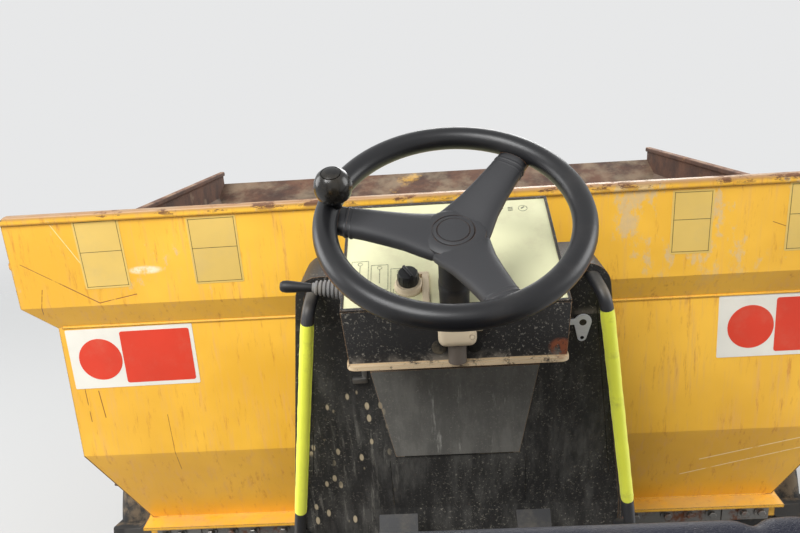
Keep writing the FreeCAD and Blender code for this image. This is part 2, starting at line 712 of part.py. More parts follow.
def front_frame():
    top = FRONT_PLATE_TOP
    axle_top = AXLE_SEAT_Z
    rear = TRUNNION_FLANGE_Y + SIDE_GAP + 4
    outline = [
        (rear, FRONT_PLATE_LOW), (rear, FRONT_NOSE_TOP), (rear + 250, top), (TIP_Y - 130, top),
        (TIP_Y - TIP_LUG_R, TIP_Z + 20),
        (TIP_Y + TIP_LUG_R, TIP_Z + 20), (FRONT_PLATE_END_Y, top - 60), (FRONT_PLATE_END_Y, FRONT_NOSE_LOW),
        (FRONT_AXLE_Y + 150, AXLE_Z - 20), (FRONT_AXLE_Y + 110, axle_top), (FRONT_AXLE_Y - 110, axle_top),
        (FRONT_AXLE_Y - 150, AXLE_Z - 20), (500, FRONT_PLATE_LOW),
    ]
    plate = side_prism(outline, PLATE_IN, PLATE_IN + PLATE_T)
    plate = plate.fuse(rod((PLATE_IN, TIP_Y, TIP_Z), (PLATE_IN + PLATE_T, TIP_Y, TIP_Z), TIP_LUG_R))
    pin = rod((PLATE_IN, TIP_Y, TIP_Z), (PLATE_IN + PLATE_T + SIDE_GAP + TIP_LUG_T + 8, TIP_Y, TIP_Z),
              TIP_PIN_R)
    cap_x = PLATE_IN + PLATE_T + SIDE_GAP + TIP_LUG_T + 2
    cap = rod((cap_x, TIP_Y, TIP_Z), (cap_x + 8, TIP_Y, TIP_Z), TIP_PIN_R + 14)
    pad = box(BEARER_IN, BEARER_OUT, 440, 540, top - 20, top + 7 - SEAT_GAP)
    pieces = both(plate) + both(pin) + both(cap) + both(pad)
    inner = PLATE_IN + 2
    nose = FRONT_PLATE_END_Y - 70
    # cross members: (y0, y1, z0, z1)
    for y0, y1, z0, z1 in ((rear, rear + 24, FRONT_PLATE_LOW, FRONT_NOSE_TOP),
                           (nose, nose + 24, FRONT_NOSE_LOW, top - 75),
                           (560, 584, AXLE_Z + 50, AXLE_Z + 140)):
        pieces.append(box(-inner, inner, y0, y1, z0, z1))
    pieces.append(rod((-inner, TIP_Y, TIP_Z - 10), (inner, TIP_Y, TIP_Z - 10), 46))
    whole = fuse(pieces)
    housing = rod((0, rear, ARTIC_Z), (0, TRUNNION_END_Y, ARTIC_Z), TRUNNION_R + BEARING_WALL)
    whole = whole.fuse(housing)
    bore = rod((0, rear - 20, ARTIC_Z), (0, TRUNNION_END_Y + 60, ARTIC_Z), TRUNNION_R + PIN_GAP)
    whole = whole.cut(bore)
    extra = []
    for sign in (-1, 1):
        inner_lug = RAM_X - RAM_EYE_W / 2 - SIDE_GAP - 14
        lug_x = sorted((sign * inner_lug, sign * (inner_lug + 14)))
        lug = side_prism([
            (rear + 20, 500), (rear + 20, 700), (RAM_FOOT_Y, RAM_FOOT_Z + 44), (RAM_FOOT_Y + 44, RAM_FOOT_Z),
            (RAM_FOOT_Y, RAM_FOOT_Z - 44), (rear + 60, 500),
        ], lug_x[0], lug_x[1])
        pin_x = sorted((sign * inner_lug, sign * (PLATE_IN + 4)))
        extra += [lug, rod((pin_x[0], RAM_FOOT_Y, RAM_FOOT_Z), (pin_x[1], RAM_FOOT_Y, RAM_FOOT_Z), RAM_PIN_R)]
    extra.append(front_eye())
    return fuse([whole] + extra)


def front_eye():
    """The recovery eye on the front cross member."""
    root = FRONT_PLATE_END_Y - 60
    tip = FRONT_PLATE_END_Y + 40
    middle = FRONT_NOSE_LOW + 90
    eye = side_prism([(root, middle - 50), (tip, middle - 50), (tip, middle + 50), (root, middle + 90)], -17,
                     17)
    eye = eye.fuse(rod((-17, tip, middle), (17, tip, middle), 50))
    return eye.cut(rod((-20, tip + 5, middle), (20, tip + 5, middle), EYE_HOLE_R))


def pivot_yoke():
    """The centre pivot: a steered block with the trunnion the front chassis rolls on."""
    low = ARTIC_Z - PIVOT_HALF
    high = ARTIC_Z + PIVOT_HALF
    block = rod((0, ARTIC_Y, low), (0, ARTIC_Y, high), PIVOT_BLOCK_R)
    neck = box(-60, 60, ARTIC_Y, TRUNNION_FLANGE_Y - 20, ARTIC_Z - 70, ARTIC_Z + 70)
    flange = rod((0, TRUNNION_FLANGE_Y - 30, ARTIC_Z), (0, TRUNNION_FLANGE_Y, ARTIC_Z), 104)
    trunnion = rod((0, TRUNNION_FLANGE_Y - 30, ARTIC_Z), (0, TRUNNION_END_Y + 40, ARTIC_Z), TRUNNION_R)
    nut = rod((0, TRUNNION_END_Y + SIDE_GAP, ARTIC_Z), (0, TRUNNION_END_Y + 34, ARTIC_Z), 80)
    whole = fuse([block, neck, flange, trunnion, nut])
    half_eye = STEER_EYE_W / 2 + SIDE_GAP
    for z0, z1 in ((ARTIC_Z - half_eye - 14, ARTIC_Z - half_eye), (ARTIC_Z + half_eye,
                                                                   ARTIC_Z + half_eye + 14)):
        arm = plan_prism([(0, ARTIC_Y - 60), (STEER_ARM, ARTIC_Y - 32), (STEER_ARM, ARTIC_Y + 32),
                          (0, ARTIC_Y + 60)], z0, z1)
        arm = arm.fuse(rod((STEER_ARM, ARTIC_Y, z0), (STEER_ARM, ARTIC_Y, z1), 32))
        arm = arm.cut(rod((STEER_ARM, ARTIC_Y, z0 - 1), (STEER_ARM, ARTIC_Y, z1 + 1), STEER_PIN_R + PIN_GAP))
        whole = whole.fuse(arm)
    return whole.cut(rod((0, ARTIC_Y, low - 1), (0, ARTIC_Y, high + 1),
                         ARTIC_PIN_R + PIN_GAP)).removeSplitter()


# Rams, made along a line and then placed

def along(start, direction, distance):
    return start + direction * distance


def ram_barrel(start, toward, pin_axis, sizes):
    """sizes: barrel radius, bore radius, rod radius, eye radius, eye width, pin radius, barrel length,
    and how far the piston can go back from rest."""
    outer, bore, rod_r, eye_r, eye_w, pin_r, length, travel_back = sizes
    way = (toward - start).normalize()
    half = pin_axis * (eye_w / 2)
    eye = rod(start - half, start + half, eye_r)
    neck = rod(start, along(start, way, eye_r + 24), eye_w / 2 - NECK_STEP)
    body = rod(along(start, way, eye_r + 20), along(start, way, length), outer)
    gland = rod(along(start, way, length - 30), along(start, way, length), outer + 5)
    whole = fuse([eye, neck, body, gland])
    whole = whole.cut(rod(along(start, way, eye_r + 34), along(start, way, length - 22), bore))
    whole = whole.cut(rod(along(start, way, length - 30), along(start, way, length + 1), rod_r + PIN_GAP))
    return whole.cut(rod(start - half * 1.2, start + half * 1.2, pin_r + PIN_GAP))


def ram_rod(start, toward, pin_axis, sizes):
    outer, bore, rod_r, eye_r, eye_w, pin_r, length, travel_back = sizes
    way = (toward - start).normalize()
    half = pin_axis * (eye_w / 2)
    foot = eye_r + 42 + travel_back
    stem = rod(along(start, way, foot), along(toward, way, -eye_r + 6), rod_r)
    piston = rod(along(start, way, foot), along(start, way, foot + 20), bore - PIN_GAP)
    eye = rod(toward - half, toward + half, eye_r)
    whole = fuse([stem, piston, eye])
    return whole.cut(rod(toward - half * 1.2, toward + half * 1.2, pin_r + PIN_GAP))


RAM_BARREL_L = math.hypot(RAM_EYE_Y - RAM_FOOT_Y, RAM_EYE_Z - RAM_FOOT_Z) - RAM_GLAND_GAP
TIP_RAM = (RAM_BARREL_R, RAM_BORE_R, RAM_ROD_R, RAM_EYE_R, RAM_EYE_W, RAM_PIN_R, RAM_BARREL_L, 0)
STEER_RAM = (STEER_BARREL_R, STEER_BORE_R, STEER_ROD_R, STEER_EYE_R, STEER_EYE_W, STEER_PIN_R, STEER_BARREL_L,
             STEER_TRAVEL_BACK)


def tip_ram_ends(sign):
    start = Vector(sign * RAM_X, RAM_FOOT_Y, RAM_FOOT_Z)
    toward = Vector(sign * RAM_X, RAM_EYE_Y, RAM_EYE_Z)
    return start, toward, X_AXIS


def steer_ram_ends():
    start = Vector(STEER_FOOT_X, STEER_FOOT_Y, ARTIC_Z)
    toward = Vector(STEER_ARM, ARTIC_Y, ARTIC_Z)
    return start, toward, Z_AXIS


# Rear chassis

def rear_frame():
    outline = [
        (ARTIC_Y - 190, REAR_PLATE_LOW), (ARTIC_Y - 190, REAR_DECK_TOP), (ARTIC_Y - 130,
                                                                          REAR_PLATE_TOP - SEAT_GAP),
        (FLOOR_REAR_Y, REAR_PLATE_TOP - SEAT_GAP), (FLOOR_REAR_Y - 40, REAR_DECK_TOP),
        (REAR_PLATE_END_Y, REAR_DECK_TOP), (REAR_PLATE_END_Y, REAR_PLATE_LOW), (REAR_AXLE_Y - 150,
                                                                                AXLE_Z - 20),
                                                                                (REAR_AXLE_Y - 110,
                                                                                 AXLE_SEAT_Z),
        (REAR_AXLE_Y + 110, AXLE_SEAT_Z), (REAR_AXLE_Y + 150, AXLE_Z - 20),
    ]
    pieces = both(side_prism(outline, PLATE_IN, PLATE_IN + PLATE_T))
    inner = PLATE_IN + 2
    nose_rear = ARTIC_Y - 200
    # cross members: (y0, y1, z0, z1)
    for y0, y1, z0, z1 in ((nose_rear - 24, nose_rear, ARTIC_Z + 100, REAR_DECK_TOP),
                           (nose_rear - 24, nose_rear, REAR_PLATE_LOW, REAR_PLATE_LOW + 20),
                           (-1640, -1600, AXLE_Z + 80, ENGINE_LOW_Z - SEAT_GAP),
                           (REAR_PLATE_END_Y, REAR_PLATE_END_Y + 24, REAR_PLATE_LOW, REAR_DECK_TOP),
                           (-930, -900, REAR_DECK_TOP - 80, REAR_DECK_TOP)):
        pieces.append(box(-inner, inner, y0, y1, z0, z1))
    block_low = ARTIC_Z - PIVOT_HALF - SIDE_GAP
    block_high = ARTIC_Z + PIVOT_HALF + SIDE_GAP
    for z0, z1 in ((block_low - PIVOT_EAR_T, block_low), (block_high, block_high + PIVOT_EAR_T)):
        ear = plan_prism([(-inner, nose_rear), (inner, nose_rear), (70, ARTIC_Y - 40), (-70, ARTIC_Y - 40)],
                         z0, z1)
        pieces += [ear, rod((0, ARTIC_Y, z0), (0, ARTIC_Y, z1), 86)]
    pieces.append(box(-inner, inner, nose_rear - 24, nose_rear, block_low - PIVOT_EAR_T, block_low + 4))
    pieces.append(rod((0, ARTIC_Y, block_low - PIVOT_EAR_T), (0, ARTIC_Y, block_high + PIVOT_EAR_T + 6),
                      ARTIC_PIN_R))
    clevis_out = CLEVIS_IN + CLEVIS_T
    for z0, z1 in ((ARTIC_Z - clevis_out, ARTIC_Z - CLEVIS_IN), (ARTIC_Z + CLEVIS_IN, ARTIC_Z + clevis_out)):
        clevis = plan_prism([(STEER_FOOT_X - 34, STEER_FOOT_Y), (STEER_FOOT_X, STEER_FOOT_Y - 36),
                             (inner, STEER_FOOT_Y - 60), (inner, STEER_FOOT_Y + 60),
                             (STEER_FOOT_X, STEER_FOOT_Y + 34)], z0, z1)
        pieces.append(clevis)
    pieces.append(rod((STEER_FOOT_X, STEER_FOOT_Y, ARTIC_Z - clevis_out), (STEER_FOOT_X, STEER_FOOT_Y,
                                                                           ARTIC_Z + clevis_out),
                      STEER_PIN_R))
    # outriggers that carry the roll hoop, the mudguards and the bonnet: (y0, y1, outer x)
    for y0, y1, reach in ((HOOP_Y - 50, HOOP_Y + 50, 660), (GUARD_REAR_Y - 30, GUARD_REAR_Y, 640)):
        beam = front_prism([(-reach, OUTRIGGER_TOP), (-reach, OUTRIGGER_TOP - 60), (-PLATE_IN - PLATE_T,
                                                                                    REAR_DECK_TOP),
                            (-PLATE_IN, REAR_DECK_TOP - 20), (-PLATE_IN, OUTRIGGER_TOP)], y0, y1)
        pieces += both(beam)
    return fuse(pieces)


def engine_block():
    engine = box(-ENGINE_X, ENGINE_X, ENGINE_REAR_Y, ENGINE_FRONT_Y, ENGINE_LOW_Z, ENGINE_TOP_Z)
    bell = box(-CASE_X, CASE_X, ENGINE_FRONT_Y, GEAR_CASE_Y, ENGINE_LOW_Z + 20, CASE_TOP_Z)
    case = box(-CASE_X, CASE_X, GEAR_CASE_Y, GEAR_CASE_Y + 260, REAR_PLATE_LOW, CASE_TOP_Z)
    return fuse([engine, bell, case])


def platform():
    top = FLOOR_Z
    outline = [
        (FLOOR_FRONT_X, FLOOR_FRONT_Y), (FLOOR_X, -110), (FLOOR_X, STEP_FRONT_Y), (STEP_X, STEP_FRONT_Y - 20),
        (STEP_X, STEP_REAR_Y), (FLOOR_X, STEP_REAR_Y), (FLOOR_X, FLOOR_REAR_Y),
    ]
    outline = outline + [(-x, y) for x, y in reversed(outline)]
    deck = plan_prism(outline, top - FLOOR_T, top)
    pieces = [deck]
    for sign in (-1, 1):
        for y in (STEP_FRONT_Y - 30, STEP_REAR_Y + 10):
            x0, x1 = sorted((sign * (TANK_X + 6), sign * (STEP_X - 5)))
            hanger = front_prism([
                (sign * (TANK_X + 8), top - 2), (sign * (TANK_X + 8), STEP_TREADS_Z[0]),
                (sign * STEP_X, STEP_TREADS_Z[0]), (sign * STEP_X, top - 2),
            ], y, y + STEP_BAR_T)
            window_gap = 26
            for low, high in zip(STEP_TREADS_Z, STEP_TREADS_Z[1:] + (top - FLOOR_T,)):
                hole = box(x0 + window_gap, x1 - window_gap, y - 1, y + STEP_BAR_T + 1, low + 40, high - 30)
                hanger = hanger.cut(hole)
            pieces.append(hanger)
        for z in STEP_TREADS_Z:
            x0, x1 = sorted((sign * (TANK_X + 8), sign * STEP_X))
            pieces.append(box(x0, x1, STEP_REAR_Y + 10, STEP_FRONT_Y - 20, z, z + 12))
    # stiffener under the deck's front edge
    pieces.append(box(-PLATE_IN, PLATE_IN, 60, 90, top - 60, top - 2))
    return fuse(pieces)


def tank(sign):
    x0 = PLATE_IN + PLATE_T + SEAT_GAP
    body = front_prism([
        (x0, TANK_TOP_Z), (x0, TANK_LOW_Z), (TANK_X - 60, TANK_LOW_Z), (TANK_X, TANK_LOW_Z + 60),
        (TANK_X, TANK_TOP_Z),
    ], TANK_REAR_Y, TANK_FRONT_Y)
    edges = [e for e in body.Edges if abs(e.tangentAt(e.FirstParameter).y) > 0.99
             and e.BoundBox.XMax > x0 + 10]
    body = body.makeFillet(24, edges)
    neck = rod((x0 + 230, TANK_FRONT_Y - 2, TANK_TOP_Z - 90), (x0 + 230, TANK_FRONT_Y + 36, TANK_TOP_Z - 60),
               34)
    whole = body.fuse(neck).removeSplitter()
    return whole if sign > 0 else mirrored(whole)


# Console

def face_y(z):
    """Where the console's sloping face lies at height z."""
    share = (z - CONSOLE_BEND_Z) / (CONSOLE_TOP_Z - CONSOLE_BEND_Z)
    return CONSOLE_FACE_FOOT_Y + (CONSOLE_FACE_TOP_Y - CONSOLE_FACE_FOOT_Y) * share


def console_front(gap, foot_z):
    """The console's shape from the front with rounded cheeks, moved in by gap, as a deep block."""
    outline = [
        (-CONSOLE_FOOT_X, foot_z), (CONSOLE_FOOT_X, foot_z), (CONSOLE_FOOT_X, CONSOLE_BEND_Z),
        (CONSOLE_TOP_X, CONSOLE_TOP_Z), (-CONSOLE_TOP_X, CONSOLE_TOP_Z), (-CONSOLE_FOOT_X, CONSOLE_BEND_Z),
    ]
    block = front_prism(inset(outline, [0] + [gap] * 5), -200, 200)
    top = [e for e in long_edges(block, Y_AXIS) if e.BoundBox.ZMin > CONSOLE_TOP_Z - gap - 10]
    return block.makeFillet(CONSOLE_ROUND - gap, top)


def console_body():
    foot_z = FLOOR_Z + SEAT_GAP
    face_top = CONSOLE_FACE_TOP_Y
    face_foot = CONSOLE_FACE_FOOT_Y
    rear_top = face_top + CONSOLE_DEPTH_TOP
    side_view = [
        (face_foot, foot_z), (face_foot + CONSOLE_DEPTH_FOOT, foot_z), (rear_top, CONSOLE_TOP_Z),
        (face_top, CONSOLE_TOP_Z), (face_foot, CONSOLE_BEND_Z),
    ]
    whole_front = console_front(0, foot_z)
    panel = side_prism(side_view, -400, 400).common(whole_front)
    stand = side_prism([
        (face_foot - CHEEK_STAND, foot_z), (face_foot + 2, foot_z), (face_foot + 2, CONSOLE_BEND_Z),
        (face_top + 2, CONSOLE_TOP_Z), (face_top - CHEEK_STAND, CONSOLE_TOP_Z), (face_foot - CHEEK_STAND,
                                                                                 CONSOLE_BEND_Z),
    ], -400, 400)
    cheeks = stand.common(whole_front.cut(console_front(CHEEK_T, foot_z - 1)))
    cover = front_prism([(-COVER_LOW_X, COVER_LOW_Z), (COVER_LOW_X, COVER_LOW_Z), (COVER_TOP_X, COVER_TOP_Z),
                         (-COVER_TOP_X, COVER_TOP_Z)], -200, 200)
    cover = cover.common(side_prism([
        (face_y(COVER_LOW_Z) - COVER_T, COVER_LOW_Z), (face_y(COVER_LOW_Z) + 2, COVER_LOW_Z),
        (face_y(COVER_TOP_Z) + 2, COVER_TOP_Z), (face_y(COVER_TOP_Z) - COVER_T, COVER_TOP_Z),
    ], -400, 400))
    pod = side_prism([
        (DASH_TOP_Y, DASH_TOP_Z), (DASH_EDGE_Y, DASH_EDGE_Z), (DASH_EDGE_Y - 4, DASH_LIP_Z),
        (face_y(DASH_LIP_Z - 20) + 4, DASH_LIP_Z - 20), (rear_top - 2, DASH_LIP_Z),
        (DASH_TOP_Y + 20, DASH_TOP_Z - 14),
    ], -DASH_X, DASH_X)
    pod = pod.common(front_prism([
        (-DASH_FOOT_X, DASH_LIP_Z - 20), (DASH_FOOT_X, DASH_LIP_Z - 20), (DASH_FOOT_X, DASH_LIP_Z),
        (DASH_X, DASH_EDGE_Z), (DASH_X, DASH_TOP_Z), (-DASH_X, DASH_TOP_Z), (-DASH_X, DASH_EDGE_Z),
        (-DASH_FOOT_X, DASH_LIP_Z),
    ], -400, 400))
    lip_x = DASH_FOOT_X + LIP_SIDE_OUT
    lip = box(-lip_x, lip_x, DASH_EDGE_Y - 4 - LIP_OUT, face_y(DASH_LIP_Z) + 2, DASH_LIP_Z - LIP_T, DASH_LIP_Z)
    corners = [e for e in long_edges(lip, Z_AXIS) if e.BoundBox.YMax < DASH_EDGE_Y]
    lip = lip.makeFillet(LIP_ROUND, corners)
    return fuse([panel, cheeks, cover, pod, lip])


def dash_slope():
    """Unit direction up the dash's sloping face and its outward normal."""
    up = Vector(0, DASH_TOP_Y - DASH_EDGE_Y, DASH_TOP_Z - DASH_EDGE_Z).normalize()
    return up, Vector(0, -up.z, up.y)


def dash_panel():
    up, normal = dash_slope()
    low = Vector(0, DASH_EDGE_Y, DASH_EDGE_Z) + up * DASH_FACE_MARGIN
    high = Vector(0, DASH_TOP_Y, DASH_TOP_Z) - up * DASH_FACE_MARGIN
    half = DASH_X - DASH_FACE_MARGIN
    corners = [low + X_AXIS * half, high + X_AXIS * half, high - X_AXIS * half, low - X_AXIS * half]
    return face_of(corners).extrude(normal * DASH_FACE_T).cut(column_space())


def column_way():
    tilt = math.radians(WHEEL_TILT)
    return Vector(0, -math.sin(tilt), math.cos(tilt))


def wheel_point(angle, radius, height):
    """A point given by its angle in the rim plane, its radius and its height above that plane."""
    tilt = math.radians(WHEEL_TILT)
    across = X_AXIS
    ahead = Vector(0, math.cos(tilt), math.sin(tilt))
    turn = math.radians(angle)
    centre = Vector(0, WHEEL_Y, WHEEL_Z)
    return centre + across * (radius * math.cos(turn)) + ahead * (radius * math.sin(turn)) + column_way() * height


def column_space():
    way = column_way()
    top = wheel_point(0, 0, -WHEEL_DISH - 40)
    return Part.makeCylinder(COLUMN_R + SEAT_GAP, 400, top, way * -1)


def steering_column():
    way = column_way()
    top = wheel_point(0, 0, -WHEEL_DISH - 34)
    tube = Part.makeCylinder(COLUMN_R, 260, top, way * -1)
    shaft = Part.makeCylinder(12, 60, wheel_point(0, 0, -WHEEL_DISH - 4), way * -1)
    block = box(-52, 52, DASH_EDGE_Y - 34, DASH_EDGE_Y - 4 - SEAT_GAP, DASH_LIP_Z + 20, DASH_EDGE_Z - 4)
    whole = fuse([tube, shaft])
    return fuse([whole.cut(console_body()), block.cut(console_body())])


def wheel_tangent(angle):
    return wheel_point(angle + 90, 1, 0) - wheel_point(angle + 90, 0, 0)


def spoke_ring(angle, radius, width, thick, height):
    """An eight-sided section across a spoke, wider than it is thick."""
    middle = wheel_point(angle, radius, height)
    across = wheel_tangent(angle)
    way = column_way()
    # (share of the half width, share of the half thickness)
    corners = ((1, 0.35), (0.7, 1), (-0.7, 1), (-1, 0.35), (-1, -0.35), (-0.7, -1), (0.7, -1), (1, -0.35))
    return [middle + across * (w * width / 2) + way * (t * thick / 2) for w, t in corners]


def steering_wheel():
    way = column_way()
    rim_centre = WHEEL_D / 2 - WHEEL_RIM_R
    hub_z = -WHEEL_DISH
    ring = Part.makeTorus(rim_centre, WHEEL_RIM_R, Vector(0, WHEEL_Y, WHEEL_Z), way)
    # the hub's outline turned round the column: (radius, height)
    hub_line = [(0, hub_z - 6), (WHEEL_HUB_R - 12, hub_z - 6), (WHEEL_HUB_R, hub_z + 4), (WHEEL_HUB_R,
                                                                                          hub_z + 16),
                (WHEEL_HUB_R - 5, hub_z + 21), (WHEEL_HUB_R - 9, hub_z + 18), (WHEEL_HUB_R - 12, hub_z + 24),
                (0, hub_z + 27)]
    hub = face_of([wheel_point(0, r, h) for r, h in hub_line]).revolve(wheel_point(0, 0, 0), way, 360)
    boss = Part.makeCylinder(22, 30, wheel_point(0, 0, hub_z - 30), way)
    pieces = [ring, hub, boss]
    # (radius, width, thickness, height)
    spoke = ((24, 58, 18, hub_z + 8), (80, 42, 18, hub_z + 16), (140, 33, 18, -18), (rim_centre, 28, 18, -3))
    collars = ((146, 35, 22, -16), (153, 35, 22, -13.5), (159, 34, 22, -12), (166, 34, 22, -9.5))
    for angle in SPOKE_ANGLES:
        pieces.append(ruled([spoke_ring(angle, *row) for row in spoke]))
        pieces += [ruled([spoke_ring(angle, *row) for row in collars[i:i + 2]]) for i in (0, 2)]
    whole = fuse(pieces)
    return whole.cut(Part.makeCylinder(12 + PIN_GAP, 56, wheel_point(0, 0, hub_z - 46), way))


def spinner_knob():
    way = column_way()
    radius = WHEEL_D / 2 - WHEEL_RIM_R
    foot = wheel_point(KNOB_ANGLE, radius - KNOB_IN, 8.5)
    stem = Part.makeCylinder(9, 24, foot, way)
    ball = Part.makeSphere(KNOB_R, foot + way * (16 + KNOB_R * 0.8))
    return fuse([stem, ball]).cut(
        Part.makeTorus(radius, WHEEL_RIM_R + SEAT_GAP, Vector(0, WHEEL_Y, WHEEL_Z), way))


def hand_controls():
    """The shuttle lever with its ribbed boot, and the knob on its collar on the dash."""
    up, normal = dash_slope()
    start = Vector(-DASH_X - SEAT_GAP, LEVER_Y, LEVER_Z)
    ribs = 5
    pitch = 9.0
    pieces = []
    for i in range(ribs):
        near = start - X_AXIS * (i * pitch)
        pieces.append(Part.makeCylinder(17 - i, pitch * 0.6, near, X_AXIS * -1))
        pieces.append(Part.makeCylinder(13 - i * 0.6, pitch + 1, near, X_AXIS * -1))
    grip = start - X_AXIS * (ribs * pitch)
    pieces.append(Part.makeCone(8, 11.5, 62, grip, X_AXIS * -1))
    pieces.append(Part.makeSphere(11.5, grip - X_AXIS * 62))
    lever = fuse(pieces)
    place = Vector(-76, 0, 0) + Vector(0, DASH_EDGE_Y,
                                       DASH_EDGE_Z) + up * 72 + normal * (DASH_FACE_T + SEAT_GAP)
    collar = Part.makeCylinder(24, 10, place, normal)
    knob = Part.makeCone(17, 14, 22, place + normal * 9, normal)
    return [lever, fuse([collar, knob])]


def handrails():
    path = [
        (RAIL_LOW[0], CONSOLE_FACE_FOOT_Y - 2, RAIL_LOW[2] - 45), RAIL_LOW, RAIL_HIGH,
        (RAIL_HIGH[0] - 12, face_y(RAIL_END_Z) + 14, RAIL_END_Z),
    ]
    tube = swept_tube(path, RAIL_R, RAIL_BEND).cut(console_body())
    return both(max(tube.Solids, key=lambda s: s.Volume))


def pedals():
    pieces = []
    # (middle x, width, lean)
    for x, width in ((150, 70), (-130, 80)):
        pad = side_prism([(-60, 1120), (-54, 1112), (18, 1190), (12, 1198)], x - width / 2, x + width / 2)
        arm = side_prism([(0, 1165), (10, 1190), (CONSOLE_FACE_FOOT_Y - SEAT_GAP, 1110),
                          (CONSOLE_FACE_FOOT_Y - SEAT_GAP, 1090)], x - 8, x + 8)
        pieces.append(fuse([pad, arm]))
    return pieces


# Seat

def seat_base():
    pan = box(-SEAT_X + 30, SEAT_X - 30, SEAT_REAR_Y + 30, SEAT_FRONT_Y - 40, FLOOR_Z + SEAT_GAP,
              SEAT_BASE_TOP - 40)
    rails = box(-SEAT_X + 10, SEAT_X - 10, SEAT_REAR_Y, SEAT_FRONT_Y - 20, SEAT_BASE_TOP - 42, SEAT_BASE_TOP)
    bars = []
    (low_y, low_z), (high_y, high_z) = backrest_rear()
    lean = (high_y - low_y) / (high_z - low_z)
    top = low_z + 230
    for x in (-130, 130):
        back = low_y - SEAT_GAP
        bars.append(side_prism([
            (SEAT_REAR_Y + 6, SEAT_BASE_TOP - 40), (back - 10, SEAT_BASE_TOP - 40), (back - 10, low_z),
            (back - 10 + lean * (top - low_z), top), (back + lean * (top - low_z), top), (back, low_z),
            (back, SEAT_BASE_TOP - 2), (SEAT_REAR_Y + 6, SEAT_BASE_TOP - 2),
        ], x - 25, x + 25))
    return fuse([pan, rails] + bars)


def backrest_rear():
    """The lower and upper ends of the backrest's rear face: (y, z)."""
    front = SEAT_REAR_Y + BACK_T - 14
    return (front - BACK_T, SEAT_BASE_TOP + CUSHION_T + 12), (front - BACK_T - BACK_LEAN, BACK_TOP_Z)


def seat_cushion():
    z0 = SEAT_BASE_TOP + SEAT_GAP
    block = box(-SEAT_X, SEAT_X, SEAT_REAR_Y, SEAT_FRONT_Y, z0, z0 + CUSHION_T)
    edges = [e for e in block.Edges if abs(e.tangentAt(e.FirstParameter).z) > 0.99]
    return block.makeFillet(50, edges)


def seat_backrest():
    (low_y, low_z), (high_y, high_z) = backrest_rear()
    block = side_prism([
        (low_y + BACK_T, low_z), (high_y + BACK_T, high_z), (high_y, high_z), (low_y, low_z),
    ], -SEAT_X + 10, SEAT_X - 10)
    edges = [e for e in block.Edges if abs(e.tangentAt(e.FirstParameter).y) > 0.99]
    return block.makeFillet(60, edges)


# Roll hoop

def rops_lower():
    low = OUTRIGGER_TOP + SEAT_GAP
    top = HOOP_HINGE_Z - 60
    pieces = []
    x0 = HOOP_X - POST_W / 2
    x1 = HOOP_X + POST_W / 2
    y0 = HOOP_Y - POST_D / 2
    y1 = HOOP_Y + POST_D / 2
    pieces.append(box(x0, x1, y0, y1, low, top))
    pieces.append(box(x0 - 20, x1 + 12, HOOP_Y - 50, HOOP_Y + 50, low, low + 16))
    for ear_x in (x0, x1 - HOOP_EAR_T):
        ear = side_prism([(y0, top - 30), (y1, top - 30), (y1, HOOP_HINGE_Z), (y0, HOOP_HINGE_Z)],
                         ear_x, ear_x + HOOP_EAR_T)
        ear = ear.fuse(rod((ear_x, HOOP_Y, HOOP_HINGE_Z), (ear_x + HOOP_EAR_T, HOOP_Y, HOOP_HINGE_Z),
                           POST_D / 2))
        pieces.append(ear)
    pieces.append(rod((x0 - 6, HOOP_Y, HOOP_HINGE_Z), (x1 + 6, HOOP_Y, HOOP_HINGE_Z), HOOP_PIN_R))
    side = fuse(pieces)
    brace = box(-x0 - 2, x0 + 2, HOOP_Y - 25, HOOP_Y + 25, 1240, 1300)
    return fuse(both(side) + [brace])


def rops_upper():
    half = POST_W / 2 - HOOP_EAR_T - SIDE_GAP
    outer = HOOP_X + half
    inner = HOOP_X - half
    y0 = HOOP_Y - POST_D / 2
    y1 = HOOP_Y + POST_D / 2
    low = HOOP_HINGE_Z

    def arch(reach, top, bend):
        points = [Vector(-reach, y0, low), Vector(-reach, y0, top - bend), Vector(-reach + bend, y0, top),
                  Vector(reach - bend, y0, top), Vector(reach, y0, top - bend), Vector(reach, y0, low)]
        left_mid = Vector(-reach + bend - bend * math.cos(math.pi / 4), y0,
                          top - bend + bend * math.sin(math.pi / 4))
        right_mid = Vector(-left_mid.x, y0, left_mid.z)
        edges = [
            Part.LineSegment(points[0], points[1]).toShape(),
            Part.Arc(points[1], left_mid, points[2]).toShape(),
            Part.LineSegment(points[2], points[3]).toShape(),
            Part.Arc(points[3], right_mid, points[4]).toShape(),
            Part.LineSegment(points[4], points[5]).toShape(),
            Part.LineSegment(points[5], points[0]).toShape(),
        ]
        return Part.Face(Part.Wire(edges)).extrude(Vector(0, POST_D, 0))

    hoop = arch(outer, HOOP_TOP_Z, HOOP_BEND_R).cut(arch(inner, HOOP_TOP_Z - POST_W + 24, HOOP_BEND_R - 70))
    pieces = [hoop]
    for sign in (-1, 1):
        pieces.append(rod((sign * inner, HOOP_Y, low), (sign * outer, HOOP_Y, low), POST_D / 2))
    whole = fuse(pieces)
    for sign in (-1, 1):
        whole = whole.cut(rod((sign * (inner - 5), HOOP_Y, low), (sign * (outer + 5), HOOP_Y, low),
                              HOOP_PIN_R + PIN_GAP))
    return whole


def beacon():
    base = HOOP_TOP_Z + SEAT_GAP
    foot = rod((-330, HOOP_Y, base), (-330, HOOP_Y, base + 22), 34)
    plinth = rod((-330, HOOP_Y, base + 20), (-330, HOOP_Y, base + 46), BEACON_R)
    dome = Part.makeCone(BEACON_R - 4, BEACON_R - 12, BEACON_H - 64, Vector(-330, HOOP_Y, base + 44), Z_AXIS)
    cap = Part.makeCone(BEACON_R - 12, 22, 20, Vector(-330, HOOP_Y, base + BEACON_H - 20), Z_AXIS)
    return fuse([foot, plinth, dome, cap])


